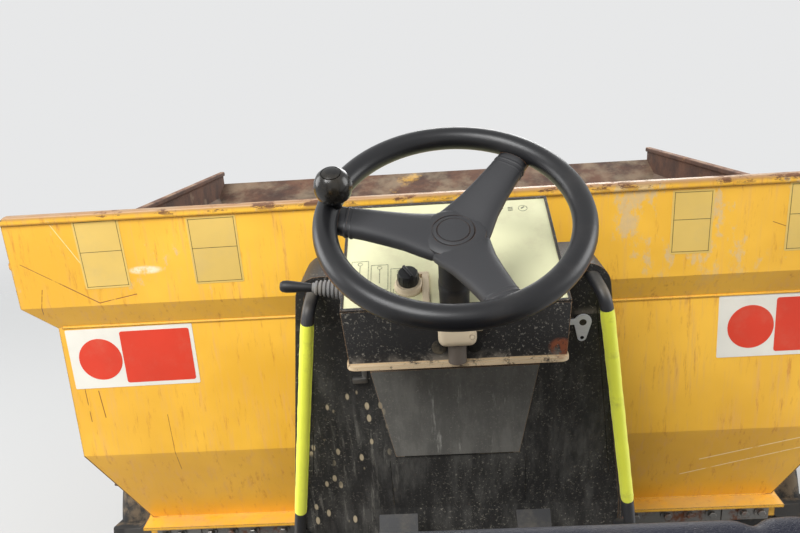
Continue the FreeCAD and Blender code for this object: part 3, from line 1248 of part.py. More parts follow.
# Rear body

def bonnet():
    side_view = [
        (BONNET_FRONT_Y, BONNET_LOW_Z), (BONNET_FRONT_Y, BONNET_TOP_Z - 30), (BONNET_FRONT_Y - 30,
                                                                              BONNET_TOP_Z),
        (BONNET_REAR_Y + 130, BONNET_TAIL_Z), (BONNET_REAR_Y, BONNET_TAIL_Z - 130), (BONNET_REAR_Y,
                                                                                     BONNET_LOW_Z),
    ]
    front_view = [
        (BONNET_X, BONNET_LOW_Z), (BONNET_TOP_X, BONNET_TOP_Z + 60), (-BONNET_TOP_X, BONNET_TOP_Z + 60),
        (-BONNET_X, BONNET_LOW_Z),
    ]
    outer = side_prism(side_view, -700, 700).common(front_prism(front_view, -2200, -900))
    wall = BONNET_WALL
    inner_side = inset(side_view, [wall] * 5 + [-60])
    inner_front = inset(front_view, [wall, wall, wall, -60])
    inner = side_prism(inner_side, -700, 700).common(front_prism(inner_front, -2200, -900))
    shell = outer.cut(inner)
    # the rear grille with its slats, then the slots along both sides
    grille_top = GRILLE_LOW_Z + SLAT_COUNT * SLAT_PITCH
    shell = shell.cut(box(-GRILLE_X, GRILLE_X, BONNET_REAR_Y - 1, BONNET_REAR_Y + wall + 1, GRILLE_LOW_Z,
                          grille_top))
    slats = []
    for i in range(SLAT_COUNT):
        z = GRILLE_LOW_Z + (i + 0.5) * SLAT_PITCH
        slats.append(side_prism([(BONNET_REAR_Y, z - 8), (BONNET_REAR_Y, z - 3), (BONNET_REAR_Y + 16, z + 8),
                                 (BONNET_REAR_Y + 16, z + 3)], -GRILLE_X - 2, GRILLE_X + 2))
    slats.append(box(-4, 4, BONNET_REAR_Y + 10, BONNET_REAR_Y + 16, GRILLE_LOW_Z - 2, grille_top + 2))
    for i in range(LOUVRE_COUNT):
        z = LOUVRE_LOW_Z + i * LOUVRE_PITCH
        shell = shell.cut(box(-BONNET_X, BONNET_X, LOUVRE_REAR_Y, LOUVRE_FRONT_Y, z, z + 10))
    knuckle_in = BONNET_EAR_X + BONNET_EAR_T / 2 + 4
    knuckle_out = knuckle_in + 14
    knuckle = rod((knuckle_in, BONNET_HINGE_Y, BONNET_HINGE_Z), (knuckle_out, BONNET_HINGE_Y, BONNET_HINGE_Z),
                  BONNET_KNUCKLE_R)
    web = box(knuckle_in, knuckle_out, BONNET_HINGE_Y, BONNET_REAR_Y + 2, BONNET_HINGE_Z - 10,
              BONNET_HINGE_Z + 50)
    pin = rod((knuckle_in - BONNET_EAR_T - 12, BONNET_HINGE_Y, BONNET_HINGE_Z),
              (knuckle_out, BONNET_HINGE_Y, BONNET_HINGE_Z), BONNET_PIN_R)
    return fuse([shell] + slats + both(knuckle) + both(web) + both(pin))


def mudguards():
    low = OUTRIGGER_TOP + SEAT_GAP
    front_y = FLOOR_REAR_Y - 14
    outline = [(front_y, GUARD_TIP_Z), (front_y - 76, low + GUARD_T), (GUARD_REAR_Y + 80, low + GUARD_T),
               (GUARD_REAR_Y, GUARD_TIP_Z)]
    lower = [(GUARD_REAR_Y + 9, GUARD_TIP_Z), (GUARD_REAR_Y + 86, low), (front_y - 82, low), (front_y - 9,
                                                                                              GUARD_TIP_Z)]
    guard = side_prism(outline + lower, BONNET_X + 8, GUARD_X)
    guard = guard.fuse(box(GUARD_X - GUARD_T, GUARD_X, GUARD_REAR_Y + 70, front_y - 66, low - GUARD_LIP,
                           low + 1))
    gap = SIDE_GAP
    slot = box(HOOP_X - POST_W / 2 - 20 - gap, HOOP_X + POST_W / 2 + 12 + gap, HOOP_Y - 50 - gap,
               HOOP_Y + 50 + gap,
               OUTRIGGER_TOP - 10, OUTRIGGER_TOP + 40)
    return both(guard.cut(slot).removeSplitter())


def bumper():
    low = BUMPER_LOW_Z
    high = BUMPER_TOP_Z
    block = side_prism([
        (REAR_PLATE_END_Y - SEAT_GAP, low + 60), (REAR_PLATE_END_Y - SEAT_GAP, high), (BUMPER_REAR_Y + 20,
                                                                                       high),
        (BUMPER_REAR_Y, high - 30), (BUMPER_REAR_Y, low + 30), (BUMPER_REAR_Y + 20, low),
        (REAR_PLATE_END_Y - SEAT_GAP - 20, low),
    ], -BUMPER_X, BUMPER_X)
    jaws = []
    for z in (JAW_Z, JAW_Z + JAW_GAP + JAW_T):
        jaw = plan_prism([(-70, BUMPER_REAR_Y + 5), (-38, HITCH_REAR_Y), (38, HITCH_REAR_Y),
                          (70, BUMPER_REAR_Y + 5)], z, z + JAW_T)
        jaws.append(jaw)
    ear_in = BONNET_EAR_X - BONNET_EAR_T / 2
    ear = box(ear_in, ear_in + BONNET_EAR_T, BONNET_HINGE_Y - 4, BONNET_HINGE_Y + BONNET_KNUCKLE_R, high - 4,
              BONNET_HINGE_Z)
    ear = ear.fuse(rod((ear_in, BONNET_HINGE_Y, BONNET_HINGE_Z), (ear_in + BONNET_EAR_T, BONNET_HINGE_Y,
                                                                  BONNET_HINGE_Z),
                       BONNET_KNUCKLE_R - 1))
    ear = ear.cut(rod((ear_in - 1, BONNET_HINGE_Y, BONNET_HINGE_Z),
                      (ear_in + BONNET_EAR_T + 1, BONNET_HINGE_Y, BONNET_HINGE_Z), BONNET_PIN_R + PIN_GAP))
    whole = fuse([block] + jaws + both(ear))
    centre_y = (BUMPER_REAR_Y + HITCH_REAR_Y) / 2 - 2
    whole = whole.cut(rod((0, centre_y, JAW_Z - 10), (0, centre_y, JAW_Z + JAW_GAP + 2 * JAW_T + 10),
                          HITCH_PIN_R))
    for sign in (-1, 1):
        x0, x1 = sorted((sign * LAMP_IN, sign * LAMP_OUT))
        whole = whole.cut(box(x0, x1, BUMPER_REAR_Y - 1, BUMPER_REAR_Y + LAMP_DEPTH, LAMP_LOW_Z, LAMP_TOP_Z))
    return whole


def tail_lamps():
    pieces = []
    for sign in (-1, 1):
        x0, x1 = sorted((sign * (LAMP_IN + 4), sign * (LAMP_OUT - 4)))
        pieces.append(box(x0, x1, BUMPER_REAR_Y - 8, BUMPER_REAR_Y + LAMP_DEPTH - SEAT_GAP, LAMP_LOW_Z + 4,
                          LAMP_TOP_Z - 4))
    return pieces


def exhaust():
    low = OUTRIGGER_TOP + SEAT_GAP + GUARD_T + SEAT_GAP
    foot = rod((EXHAUST_X, EXHAUST_Y, low), (EXHAUST_X, EXHAUST_Y, low + 8), EXHAUST_R + 8)
    stack = rod((EXHAUST_X, EXHAUST_Y, low), (EXHAUST_X, EXHAUST_Y, EXHAUST_TOP_Z), EXHAUST_R)
    mouth = rod((EXHAUST_X, EXHAUST_Y, low + 200), (EXHAUST_X, EXHAUST_Y, EXHAUST_TOP_Z + 10), EXHAUST_R - 4)
    slant = side_prism([(EXHAUST_Y - 60, EXHAUST_TOP_Z - 50), (EXHAUST_Y + 60, EXHAUST_TOP_Z + 10),
                        (EXHAUST_Y - 60, EXHAUST_TOP_Z + 10)], EXHAUST_X - 60, EXHAUST_X + 60)
    clamp = box(EXHAUST_X - 20, EXHAUST_X + 10, EXHAUST_Y, HOOP_Y - POST_D / 2 - SEAT_GAP, 1500, 1540)
    return fuse([foot, stack, clamp]).cut(mouth).cut(slant)


def build():
    save("skip", fuse([skip()] + skip_flanges()))
    save("skip_flaps", skip_flaps())
    save("flap_strips", flap_strips())
    save("front_frame", front_frame())
    save("front_axle", front_axle())
    save("pivot_yoke", pivot_yoke())
    whole_tyre = tyre()
    # (name, side, axle)
    for name, side, axle_y in (("front_left", -1, FRONT_AXLE_Y), ("front_right", 1, FRONT_AXLE_Y),
                               ("rear_left", -1, REAR_AXLE_Y), ("rear_right", 1, REAR_AXLE_Y)):
        save("tyre_" + name, placed_tyre(whole_tyre, side, axle_y))
        save("rim_" + name, rim(side, axle_y))
    for name, side in (("left", -1), ("right", 1)):
        save("tip_barrel_" + name, ram_barrel(*tip_ram_ends(side), TIP_RAM))
        save("tip_rod_" + name, ram_rod(*tip_ram_ends(side), TIP_RAM))
    save("steer_barrel", ram_barrel(*steer_ram_ends(), STEER_RAM))
    save("steer_rod", ram_rod(*steer_ram_ends(), STEER_RAM))
    save("rear_frame", rear_frame())
    save("rear_axle", rear_axle())
    save("engine_block", engine_block())
    save("platform", platform())
    save("fuel_tank", tank(-1))
    save("oil_tank", tank(1))
    save("console_body", console_body())
    save("dash_panel", dash_panel())
    save("steering_column", steering_column())
    save("steering_wheel", steering_wheel())
    save("spinner_knob", spinner_knob())
    save("hand_controls", hand_controls())
    save("handrails", handrails())
    save("pedals", pedals())
    save("seat_base", seat_base())
    save("seat_cushion", seat_cushion())
    save("seat_backrest", seat_backrest())
    save("rops_lower", rops_lower())
    save("rops_upper", rops_upper())
    save("beacon", beacon())
    save("bonnet", bonnet())
    save("mudguards", mudguards())
    save("bumper", bumper())
    save("tail_lamps", tail_lamps())
    save("exhaust", exhaust())


build()
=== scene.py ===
"""Looks of the articulated site dumper: paint, wear, tyres, seat, console and small fittings."""

import json
import math

import bmesh
import bpy
from bpy.props import FloatProperty, FloatVectorProperty, IntProperty, PointerProperty
from mathutils import Matrix, Vector


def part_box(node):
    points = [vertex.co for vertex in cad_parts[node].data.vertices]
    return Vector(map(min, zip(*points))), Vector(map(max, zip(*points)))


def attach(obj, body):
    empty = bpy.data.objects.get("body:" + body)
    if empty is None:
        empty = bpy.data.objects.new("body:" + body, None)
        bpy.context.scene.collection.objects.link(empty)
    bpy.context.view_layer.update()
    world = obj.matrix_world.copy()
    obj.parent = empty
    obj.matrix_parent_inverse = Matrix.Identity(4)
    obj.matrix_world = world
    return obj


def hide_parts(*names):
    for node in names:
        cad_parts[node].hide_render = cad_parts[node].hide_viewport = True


bl_info = {
    "name": "Site dumper looks",
    "version": (1, 0, 0),
    "blender": (4, 5, 0),
    "location": "View3D > Sidebar > Dumper",
    "description": "Finishes and detail for the articulated site dumper",
    "category": "Object",
}

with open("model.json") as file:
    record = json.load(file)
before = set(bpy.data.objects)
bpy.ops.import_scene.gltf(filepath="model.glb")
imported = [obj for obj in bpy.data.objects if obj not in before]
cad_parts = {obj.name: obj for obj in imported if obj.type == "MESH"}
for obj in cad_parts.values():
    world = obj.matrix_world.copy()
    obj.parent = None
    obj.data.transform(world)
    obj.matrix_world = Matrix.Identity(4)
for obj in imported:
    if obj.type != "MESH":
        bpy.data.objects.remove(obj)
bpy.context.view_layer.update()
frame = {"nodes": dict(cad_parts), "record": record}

X = Vector((1, 0, 0))
Y = Vector((0, 1, 0))
Z = Vector((0, 0, 1))


def srgb(red, green, blue):
    """A colour read off a picture, 0 to 255, as the linear colour that a shader takes."""
    def linear(value):
        value /= 255
        return value / 12.92 if value <= 0.04045 else ((value + 0.055) / 1.055) ** 2.4
    return linear(red), linear(green), linear(blue), 1.0


# camera, fitted to the photograph
CAMERA_PLACE = Vector((-0.037, -1.251, 2.164))
CAMERA_YAW = math.radians(2.52)
CAMERA_PITCH = math.radians(18.39)
CAMERA_ROLL = math.radians(-3.79)
CAMERA_LENS = 32.36
SENSOR = 36.0

SKIP_YELLOW = srgb(250, 188, 54)
CREAM = srgb(222, 220, 178)
HI_VIS = srgb(252, 255, 84)
NAVY = srgb(11, 13, 26)
RUST = srgb(120, 66, 34)
DUST = srgb(176, 160, 132)

# wheels: the tyres' radius, the axles' middle and half their span along Y, and how far out a wheel stands
TYRE_RADIUS = 0.54
AXLES_Y = -0.07
AXLE_REACH = 1.175
WHEEL_OUT = 0.88

# skip: heights of its rim, of the rear wall's bend and of the flange under it, the wall's outer and inner
# faces on Y, and the rise over run and the height at y = 0 of its floor's rear and front parts
RIM_Z = 1.823
BEND_Z = 1.205
FLANGE_Z = 1.055
OUTER_Y = 0.285
INNER_Y = 0.350
REAR_FLOOR = (0.362, 0.746)
FRONT_FLOOR = (0.229, 0.894)

# console: heights of its cover's top and foot, of the slit under it, and of the pod's foot
COVER_TOP_Z = 1.531
COVER_FOOT_Z = 1.314
SLIT_Z = 1.3145
POD_FOOT_Z = 1.6365


class Value:
    """One output in a material's nodes, with the arithmetic that its sums need."""

    def __init__(self, finish, socket):
        self.finish = finish
        self.socket = socket

    def sum(self, operation, left, right=0.0):
        return self.finish.node("ShaderNodeMath", {"operation": operation}, {0: left, 1: right})

    def __add__(self, other):
        return self.sum("ADD", self, other)

    def __radd__(self, other):
        return self.sum("ADD", other, self)

    def __sub__(self, other):
        return self.sum("SUBTRACT", self, other)

    def __rsub__(self, other):
        return self.sum("SUBTRACT", other, self)

    def __mul__(self, other):
        return self.sum("MULTIPLY", self, other)

    def __rmul__(self, other):
        return self.sum("MULTIPLY", other, self)

    def __pow__(self, other):
        return self.sum("POWER", self, other)

    def over(self, low, high):
        """0 below low and 1 above high, with a soft step between; low above high turns it round."""
        if low < high:
            ends = {"From Min": low, "From Max": high, "To Min": 0.0, "To Max": 1.0}
        else:
            ends = {"From Min": high, "From Max": low, "To Min": 1.0, "To Max": 0.0}
        return self.finish.node("ShaderNodeMapRange", {"interpolation_type": "SMOOTHSTEP"},
                                {"Value": self, **ends})

    def most(self, other):
        return self.sum("MAXIMUM", self, other)

    def least(self, other):
        return self.sum("MINIMUM", self, other)


class Finish:
    """A material in the making."""

    def __init__(self, name, **fixed):
        self.material = bpy.data.materials.new(name)
        self.material.use_nodes = True
        self.tree = self.material.node_tree
        self.surface = self.tree.nodes["Principled BSDF"]
        self.place = Value(self, self.tree.nodes.new("ShaderNodeTexCoord").outputs["Object"])
        for name, value in fixed.items():
            self.surface.inputs[name.replace("_", " ")].default_value = value

    def node(self, kind, settings=None, sockets=None, output=0):
        """Any node: its settings are set first, then its sockets' values or links."""
        made = self.tree.nodes.new(kind)
        for name, value in (settings or {}).items():
            if name == "stops":
                ramp = made.color_ramp.elements
                for spot, (at, colour) in enumerate(value):
                    stop = ramp[spot] if spot < 2 else ramp.new(at)
                    stop.position = at
                    stop.color = colour
            else:
                setattr(made, name, value)
        for name, value in (sockets or {}).items():
            if isinstance(value, Value):
                self.tree.links.new(value.socket, made.inputs[name])
            else:
                made.inputs[name].default_value = value
        return Value(self, made.outputs[output])

    def mix(self, share, base, top):
        """The colour base with top laid over it where share is 1."""
        return self.node("ShaderNodeMix", {"data_type": "RGBA"}, {0: share, 6: base, 7: top}, 2)

    def stretched(self, by, shift=(0.0, 0.0, 0.0), turn=(0.0, 0.0, 0.0)):
        return self.node("ShaderNodeMapping", None,
                         {"Vector": self.place, "Scale": by, "Location": shift, "Rotation": turn})

    def noise(self, scale, detail=3.0, rough=0.55, at=None, warp=0.0):
        return self.node("ShaderNodeTexNoise", None,
                         {"Vector": at or self.place, "Scale": scale, "Detail": detail, "Roughness": rough,
                          "Distortion": warp})

    def cells(self, scale, at=None, feature="F1", spread=1.0):
        return self.node("ShaderNodeTexVoronoi", {"feature": feature},
                         {"Vector": at or self.place, "Scale": scale, "Randomness": spread})

    def part(self, at, axis):
        """One of the x, y and z parts of a vector."""
        return self.node("ShaderNodeSeparateXYZ", None, {0: at}, "XYZ".index(axis))

    def facing(self, axis):
        """How far the piece's own surface looks along an axis, in the piece's frame."""
        coords = self.tree.nodes.new("ShaderNodeTexCoord")
        return self.part(Value(self, coords.outputs["Normal"]), axis)

    def edges(self, radius):
        """Near 1 on outer and inner edges, for worn paint and caught dirt."""
        bevel = self.node("ShaderNodeBevel", {"samples": 4}, {"Radius": radius})
        normal = self.node("ShaderNodeNewGeometry", None, None, "True Normal")
        turn = self.node("ShaderNodeVectorMath", {"operation": "DOT_PRODUCT"}, {0: bevel, 1: normal}, "Value")
        return 1.0 - turn

    def bump(self, height, strength=0.4, distance=0.002):
        return self.node("ShaderNodeBump", None,
                         {"Height": height, "Strength": strength, "Distance": distance})

    def set(self, colour=None, rough=None, metal=None, normal=None, coat=None, glow=None):
        sockets = {"Base Color": colour, "Roughness": rough, "Metallic": metal, "Normal": normal,
                   "Coat Weight": coat, "Emission Color": glow}
        for name, value in sockets.items():
            if isinstance(value, Value):
                self.tree.links.new(value.socket, self.surface.inputs[name])
            elif value is not None:
                self.surface.inputs[name].default_value = value
        return self.material


def painted(name, colour, gloss=0.38, wear=1.0, dust=0.6, bare=RUST, edge=0.004):
    """Sprayed steel: faded in patches, chipped on its edges, with dust lying on what faces up."""
    f = Finish(name, Specular_IOR_Level=0.5)
    fade = f.noise(2.3, 4.0, 0.6)
    faded = tuple(min(1.0, c * 1.12 + 0.02) for c in colour[:3]) + (1.0,)
    deep = tuple(c * 0.82 for c in colour[:3]) + (1.0,)
    paint = f.mix(fade.over(0.35, 0.68), deep, faded)
    chips = (f.edges(edge) * 2.2 + f.noise(42.0, 5.0, 0.7) * 0.9).over(1.02 - 0.28 * wear, 1.14 - 0.28 * wear)
    spots = f.noise(95.0, 3.0, 0.8).over(0.79 - 0.02 * wear, 0.82 - 0.02 * wear)
    bare_share = chips.most(spots)
    steel = f.mix(f.noise(60.0, 3.0), bare, srgb(92, 72, 56))
    lying = f.facing("Z").over(0.2, 0.95) * f.noise(9.0, 8.0, 0.7).over(0.30, 0.80) * dust * 0.7
    streaks = f.noise(3.0, 6.0, 0.7, f.stretched((14.0, 14.0, 0.9))).over(0.55, 0.78) * 0.28 * dust
    shown = f.mix(bare_share, paint, steel)
    shown = f.mix(streaks, shown, DUST)
    shown = f.mix(lying, shown, DUST)
    rough = gloss + fade * 0.14 + bare_share * 0.3 + lying * 0.35
    relief = f.noise(240.0, 2.0) * 0.15 - bare_share * 0.9 + lying * f.noise(120.0, 4.0) * 0.5
    return f.set(colour=shown, rough=rough, normal=f.bump(relief, 0.35, 0.0009))


# long scratches on the skip's rear wall: from x, z to x, z, width, how brown (0 pale, 1 rust)
SCRATCHES = (
    (-0.952, 1.713, -0.872, 1.664, 0.0011, 1.0), (-0.872, 1.664, -0.789, 1.613, 0.0016, 1.0),
    (-0.789, 1.613, -0.701, 1.630, 0.0014, 1.0), (-0.915, 1.651, -0.930, 1.589, 0.0012, 1.0),
    (-0.865, 1.800, -0.812, 1.705, 0.0010, 0.0), (-0.884, 1.520, -0.878, 1.300, 0.0014, 1.0),
    (-0.848, 1.380, -0.842, 1.310, 0.0016, 1.0), (0.600, 1.110, 0.900, 1.190, 0.0018, 0.0),
    (0.560, 1.060, 0.880, 1.150, 0.0016, 0.0), (-0.690, 1.310, -0.684, 1.150, 0.0010, 1.0),
    (0.700, 1.720, 0.800, 1.680, 0.0010, 1.0),
)


def near_line(x, z, run):
    """Near 1 on a scratch from one point to another; its caller thins it where the paint held."""
    x0, z0, x1, z1, wide, _ = run
    dx, dz = x1 - x0, z1 - z0
    square = dx * dx + dz * dz
    along = (((x - x0) * dx + (z - z0) * dz) * (1.0 / square)).most(0.0).least(1.0)
    aside = x - x0 - along * dx
    rise = z - z0 - along * dz
    away = (aside * aside + rise * rise) ** 0.5
    return away.over(wide, wide * 0.35)


def skip_paint(name, colour):
    """Worn enamel: knocked rims, scratches, pale scuffs and streaks outside, rust and caked soil inside."""
    f = Finish(name, Specular_IOR_Level=0.5)
    x, y, z = (f.part(f.place, axis) for axis in "XYZ")
    fade = f.noise(1.9, 4.0, 0.6)
    paint = f.mix(fade.over(0.35, 0.68), tuple(c * 0.86 for c in colour[:3]) + (1.0,),
                  tuple(min(1.0, c * 1.08 + 0.015) for c in colour[:3]) + (1.0,))
    streaks = f.noise(2.6, 6.0, 0.72, f.stretched((26.0, 26.0, 1.4))).over(0.49, 0.72)
    paint = f.mix(streaks * 0.5, paint, srgb(228, 170, 104))
    rusty = f.noise(3.4, 6.0, 0.75, f.stretched((20.0, 20.0, 2.6), (3.0, 1.0, 0.0))).over(0.55, 0.70)
    paint = f.mix(rusty * 0.55, paint, srgb(194, 110, 44))
    # grey scuffs where loads were dragged over the band, more of them on the right
    outside = y.over(OUTER_Y + 0.015, OUTER_Y - 0.015)
    band = z.over(1.56, 1.66) * outside
    scuffed = (f.noise(7.0, 8.0, 0.76, f.stretched((1.6, 1.0, 0.9)))
               + x.over(-0.1, 0.5) * 0.075 + z.over(1.6, 1.82) * 0.05).over(0.615, 0.69)
    grey = f.mix(f.noise(90.0, 3.0), srgb(196, 178, 150), srgb(226, 196, 140))
    paint = f.mix(scuffed * band * 0.72, paint, grey)
    white = ((x + 0.672) * (x + 0.672) * 0.35 + (z - 1.686) * (z - 1.686) * 6.0).over(0.0008, 0.0001)
    paint = f.mix(white * band * f.noise(40.0, 5.0, 0.8).over(0.3, 0.6), paint, srgb(246, 232, 196))
    chips = (f.edges(0.006) * 2.2 + f.noise(38.0, 6.0, 0.74) * 0.95).over(0.755, 0.86)
    spots = f.noise(70.0, 4.0, 0.8).over(0.745, 0.775)
    knocks = f.noise(26.0, 7.0, 0.78, f.stretched((0.5, 1.0, 1.4))).over(0.535, 0.58)
    knocked = z.over(RIM_Z - 0.019, RIM_Z - 0.006) * knocks
    worn_rim = z.over(RIM_Z - 0.011, RIM_Z) * outside
    paint = f.mix(worn_rim * 0.92, paint, srgb(156, 118, 86))
    # painted shade: the wall below the bend slopes in and faces down, so its paint is laid a little darker
    # and browner
    paint = f.mix(z.over(BEND_Z + 0.01, BEND_Z - 0.01) * 0.15, paint, srgb(186, 124, 40))
    steel = f.mix(f.noise(60.0, 4.0), RUST, srgb(84, 66, 54))
    bare = chips.most(spots).most(knocked)
    shown = f.mix(bare * 0.92, paint, steel)
    cut_depth = bare
    rear = y.over(INNER_Y + 0.01, INNER_Y - 0.01)
    for run in SCRATCHES:
        share = near_line(x, z, run) * rear * f.noise(34.0, 4.0, 0.7).over(0.30, 0.46)
        shown = f.mix(share, shown, srgb(146, 82, 36) if run[5] > 0.5 else srgb(250, 226, 170))
        cut_depth = cut_depth.most(share * run[5])
    # the inner faces, told by the way they look
    sideways = f.facing("X")
    over_floor = 1.0
    for rise, foot in (REAR_FLOOR, FRONT_FLOOR):
        over_floor = (z - y * rise - foot).over(-0.004, 0.004) * over_floor
    inner = ((sideways * x) * -1.0).over(0.02, 0.12) * over_floor
    inner = inner.most(f.facing("Y").over(0.2, 0.6) * y.over(0.45, 0.42))
    above = y.over(OUTER_Y, OUTER_Y + 0.015) * z.over(FLANGE_Z - 0.005, FLANGE_Z + 0.005)
    over_flange = y.over(INNER_Y - 0.005, INNER_Y + 0.005).most(above)
    inner = inner.most(f.facing("Z").over(0.25, 0.5) * over_flange) * z.over(1.80, 1.79)
    front_end = y.over(1.95, 2.06)
    inner = inner.most(f.facing("Y").over(-0.3, -0.7) * y.over(1.2, 1.4))
    left_paint = f.noise(2.4, 6.0, 0.7).over(0.60, 0.72)
    grime = f.mix(f.noise(6.0, 7.0, 0.7).over(0.35, 0.66), srgb(62, 42, 33), srgb(100, 68, 50))
    grime = f.mix(f.noise(46.0, 5.0, 0.75).over(0.56, 0.7) * 0.7, grime, srgb(62, 44, 36))
    lime = (f.noise(4.4, 5.0, 0.66) + front_end * 0.05).over(0.64, 0.72)
    grime = f.mix(lime * 0.32, grime, srgb(168, 148, 122))
    grime = f.mix(left_paint * 0.75, grime, paint)
    shown = f.mix(inner, shown, grime)
    side_rim = f.facing("Z").over(0.3, 0.8) * y.over(0.29, 0.32) * z.over(1.55, 1.57)
    shown = f.mix(side_rim * f.noise(8.0, 6.0, 0.7).over(0.3, 0.55), shown, srgb(134, 98, 78))
    lying = f.facing("Z").over(0.4, 0.95) * f.noise(8.0, 6.0, 0.62).over(0.4, 0.66) * 0.35
    shown = f.mix(lying, shown, DUST)
    rough = 0.36 + fade * 0.12 + bare * 0.3 + inner * 0.38
    relief = f.noise(240.0, 2.0) * 0.12 - cut_depth * 0.9 + inner * f.noise(70.0, 6.0, 0.7) * 1.6
    return f.set(colour=shown, rough=rough, normal=f.bump(relief, 0.4, 0.0011))


def console_paint(name):
    """Black textured enamel with dusty streaks on the cover, flecks of old beige and a rubbed beige lip."""
    f = Finish(name, Specular_IOR_Level=0.45)
    x, z = f.part(f.place, "X"), f.part(f.place, "Z")
    base = f.mix(f.noise(5.0, 5.0), srgb(28, 28, 29), srgb(52, 51, 50))
    pod_front = z.over(1.700, 1.640) * z.over(POD_FOOT_Z - 0.0005, POD_FOOT_Z + 0.0035)
    base = f.mix(pod_front * 0.7, base, srgb(24, 24, 25))
    speckle = f.noise(190.0, 4.0, 0.8).over(0.57, 0.66) * f.noise(7.0, 4.0).over(0.26, 0.56)
    shown = f.mix(speckle * 0.65, base, srgb(166, 160, 146))
    cover = z.over(COVER_TOP_Z + 0.003, COVER_TOP_Z - 0.003)
    cover = cover * z.over(COVER_FOOT_Z - 0.002, COVER_FOOT_Z + 0.002)
    cover = cover * (x * x - (z - COVER_FOOT_Z) * 0.0485).over(0.0172, 0.0158)
    smear = f.noise(5.0, 7.0, 0.74, f.stretched((5.0, 1.0, 1.3))).over(0.40, 0.7) * z.over(1.58, 1.50) * 0.35
    smear = smear + cover * (f.noise(14.0, 6.0, 0.7) * 0.40 + 0.34)
    shown = f.mix(smear, shown, srgb(124, 122, 116))
    drips = f.noise(9.0, 6.0, 0.76, f.stretched((6.0, 1.0, 0.8))).over(0.58, 0.7)
    drips = drips * z.over(1.53, 1.46) * z.over(1.29, 1.34) * (x * x).over(0.022, 0.012)
    shown = f.mix(drips * 0.55, shown, srgb(188, 186, 178))
    wiped = f.noise(5.0, 6.0, 0.76, f.stretched((16.0, 1.0, 1.6), turn=(0.0, 0.75, 0.0))).over(0.53, 0.70)
    wiped = wiped * z.over(1.46, 1.36) * x.over(-0.08, -0.18)
    shown = f.mix(wiped * 0.5, shown, srgb(158, 154, 144))
    flecks = f.cells(30.0, f.stretched((1.6, 0.4, 0.75))).over(0.25, 0.17)
    flecks = flecks * x.over(-0.13, -0.17) * z.over(1.54, 1.50) * f.noise(9.0, 2.0).over(0.38, 0.46)
    shown = f.mix(flecks, shown, srgb(196, 180, 150))
    # the pod's flange at its foot, rubbed back to beige, and the rust at its right end
    flange = z.over(POD_FOOT_Z - 0.010, POD_FOOT_Z - 0.008) * z.over(POD_FOOT_Z + 0.002, POD_FOOT_Z + 0.0005)
    flange = flange * (x * x).over(0.0355, 0.0345)
    flange = flange * f.noise(38.0, 6.0, 0.8).over(0.36, 0.46)
    shown = f.mix(flange, shown, srgb(206, 184, 150))
    dust_line = z.over(POD_FOOT_Z - 0.0005, POD_FOOT_Z + 0.0015)
    dust_line = dust_line * z.over(POD_FOOT_Z + 0.0195, POD_FOOT_Z + 0.0035)
    dust_line = dust_line * f.noise(22.0, 6.0, 0.72).over(0.46, 0.64)
    shown = f.mix(dust_line * 0.45, shown, srgb(150, 142, 130))
    patch = ((x - 0.170) * (x - 0.170) * 0.7 + (z - 1.651) * (z - 1.651)).over(0.00035, 0.00008)
    shown = f.mix(patch * f.noise(60.0, 5.0, 0.8).over(0.42, 0.52), shown, srgb(128, 70, 44))
    rubbed = (f.edges(0.0035) * 2.0 + f.noise(48.0, 5.0, 0.74) * 0.8).over(0.86, 1.0)
    shown = f.mix(rubbed * 0.8, shown, srgb(186, 146, 104))
    relief = f.noise(420.0, 3.0) * 0.5 + rubbed * -0.6 + speckle * 0.5
    return f.set(colour=shown, rough=0.50 + smear * 0.5 + speckle * 0.2, normal=f.bump(relief, 0.4, 0.0007))


def tread_rubber(name):
    """Tyre rubber with soil caked between the lugs and the lugs' tops rubbed clean."""
    f = Finish(name, Specular_IOR_Level=0.35)
    y, z = f.part(f.place, "Y"), f.part(f.place, "Z")
    # both axles at once, by the distance from their shared middle
    off = ((y - AXLES_Y) ** 2.0) ** 0.5 - AXLE_REACH
    out = (off * off + (z - TYRE_RADIUS) * (z - TYRE_RADIUS)) ** 0.5
    base = f.mix(f.noise(7.0, 4.0), srgb(30, 30, 31), srgb(50, 49, 47))
    soil = f.mix(f.noise(30.0, 5.0), srgb(96, 82, 66), srgb(132, 116, 94))
    caked = (f.noise(17.0, 7.0, 0.72) + out.over(0.532, 0.508) * out.over(0.46, 0.50) * 0.16).over(0.56, 0.74)
    wall = f.noise(7.0, 7.0, 0.7).over(0.42, 0.78) * 0.42
    shown = f.mix(wall, base, srgb(108, 100, 88))
    shown = f.mix(caked * 0.72, shown, soil)
    top = out.over(0.5365, 0.539)
    shown = f.mix(top * 0.8, shown, srgb(62, 60, 57))
    relief = f.noise(130.0, 5.0, 0.72) * 0.5 + caked * f.noise(60.0, 5.0, 0.7) * 1.4
    return f.set(colour=shown, rough=0.78 - top * 0.16 + caked * 0.15, normal=f.bump(relief, 0.5, 0.0018))


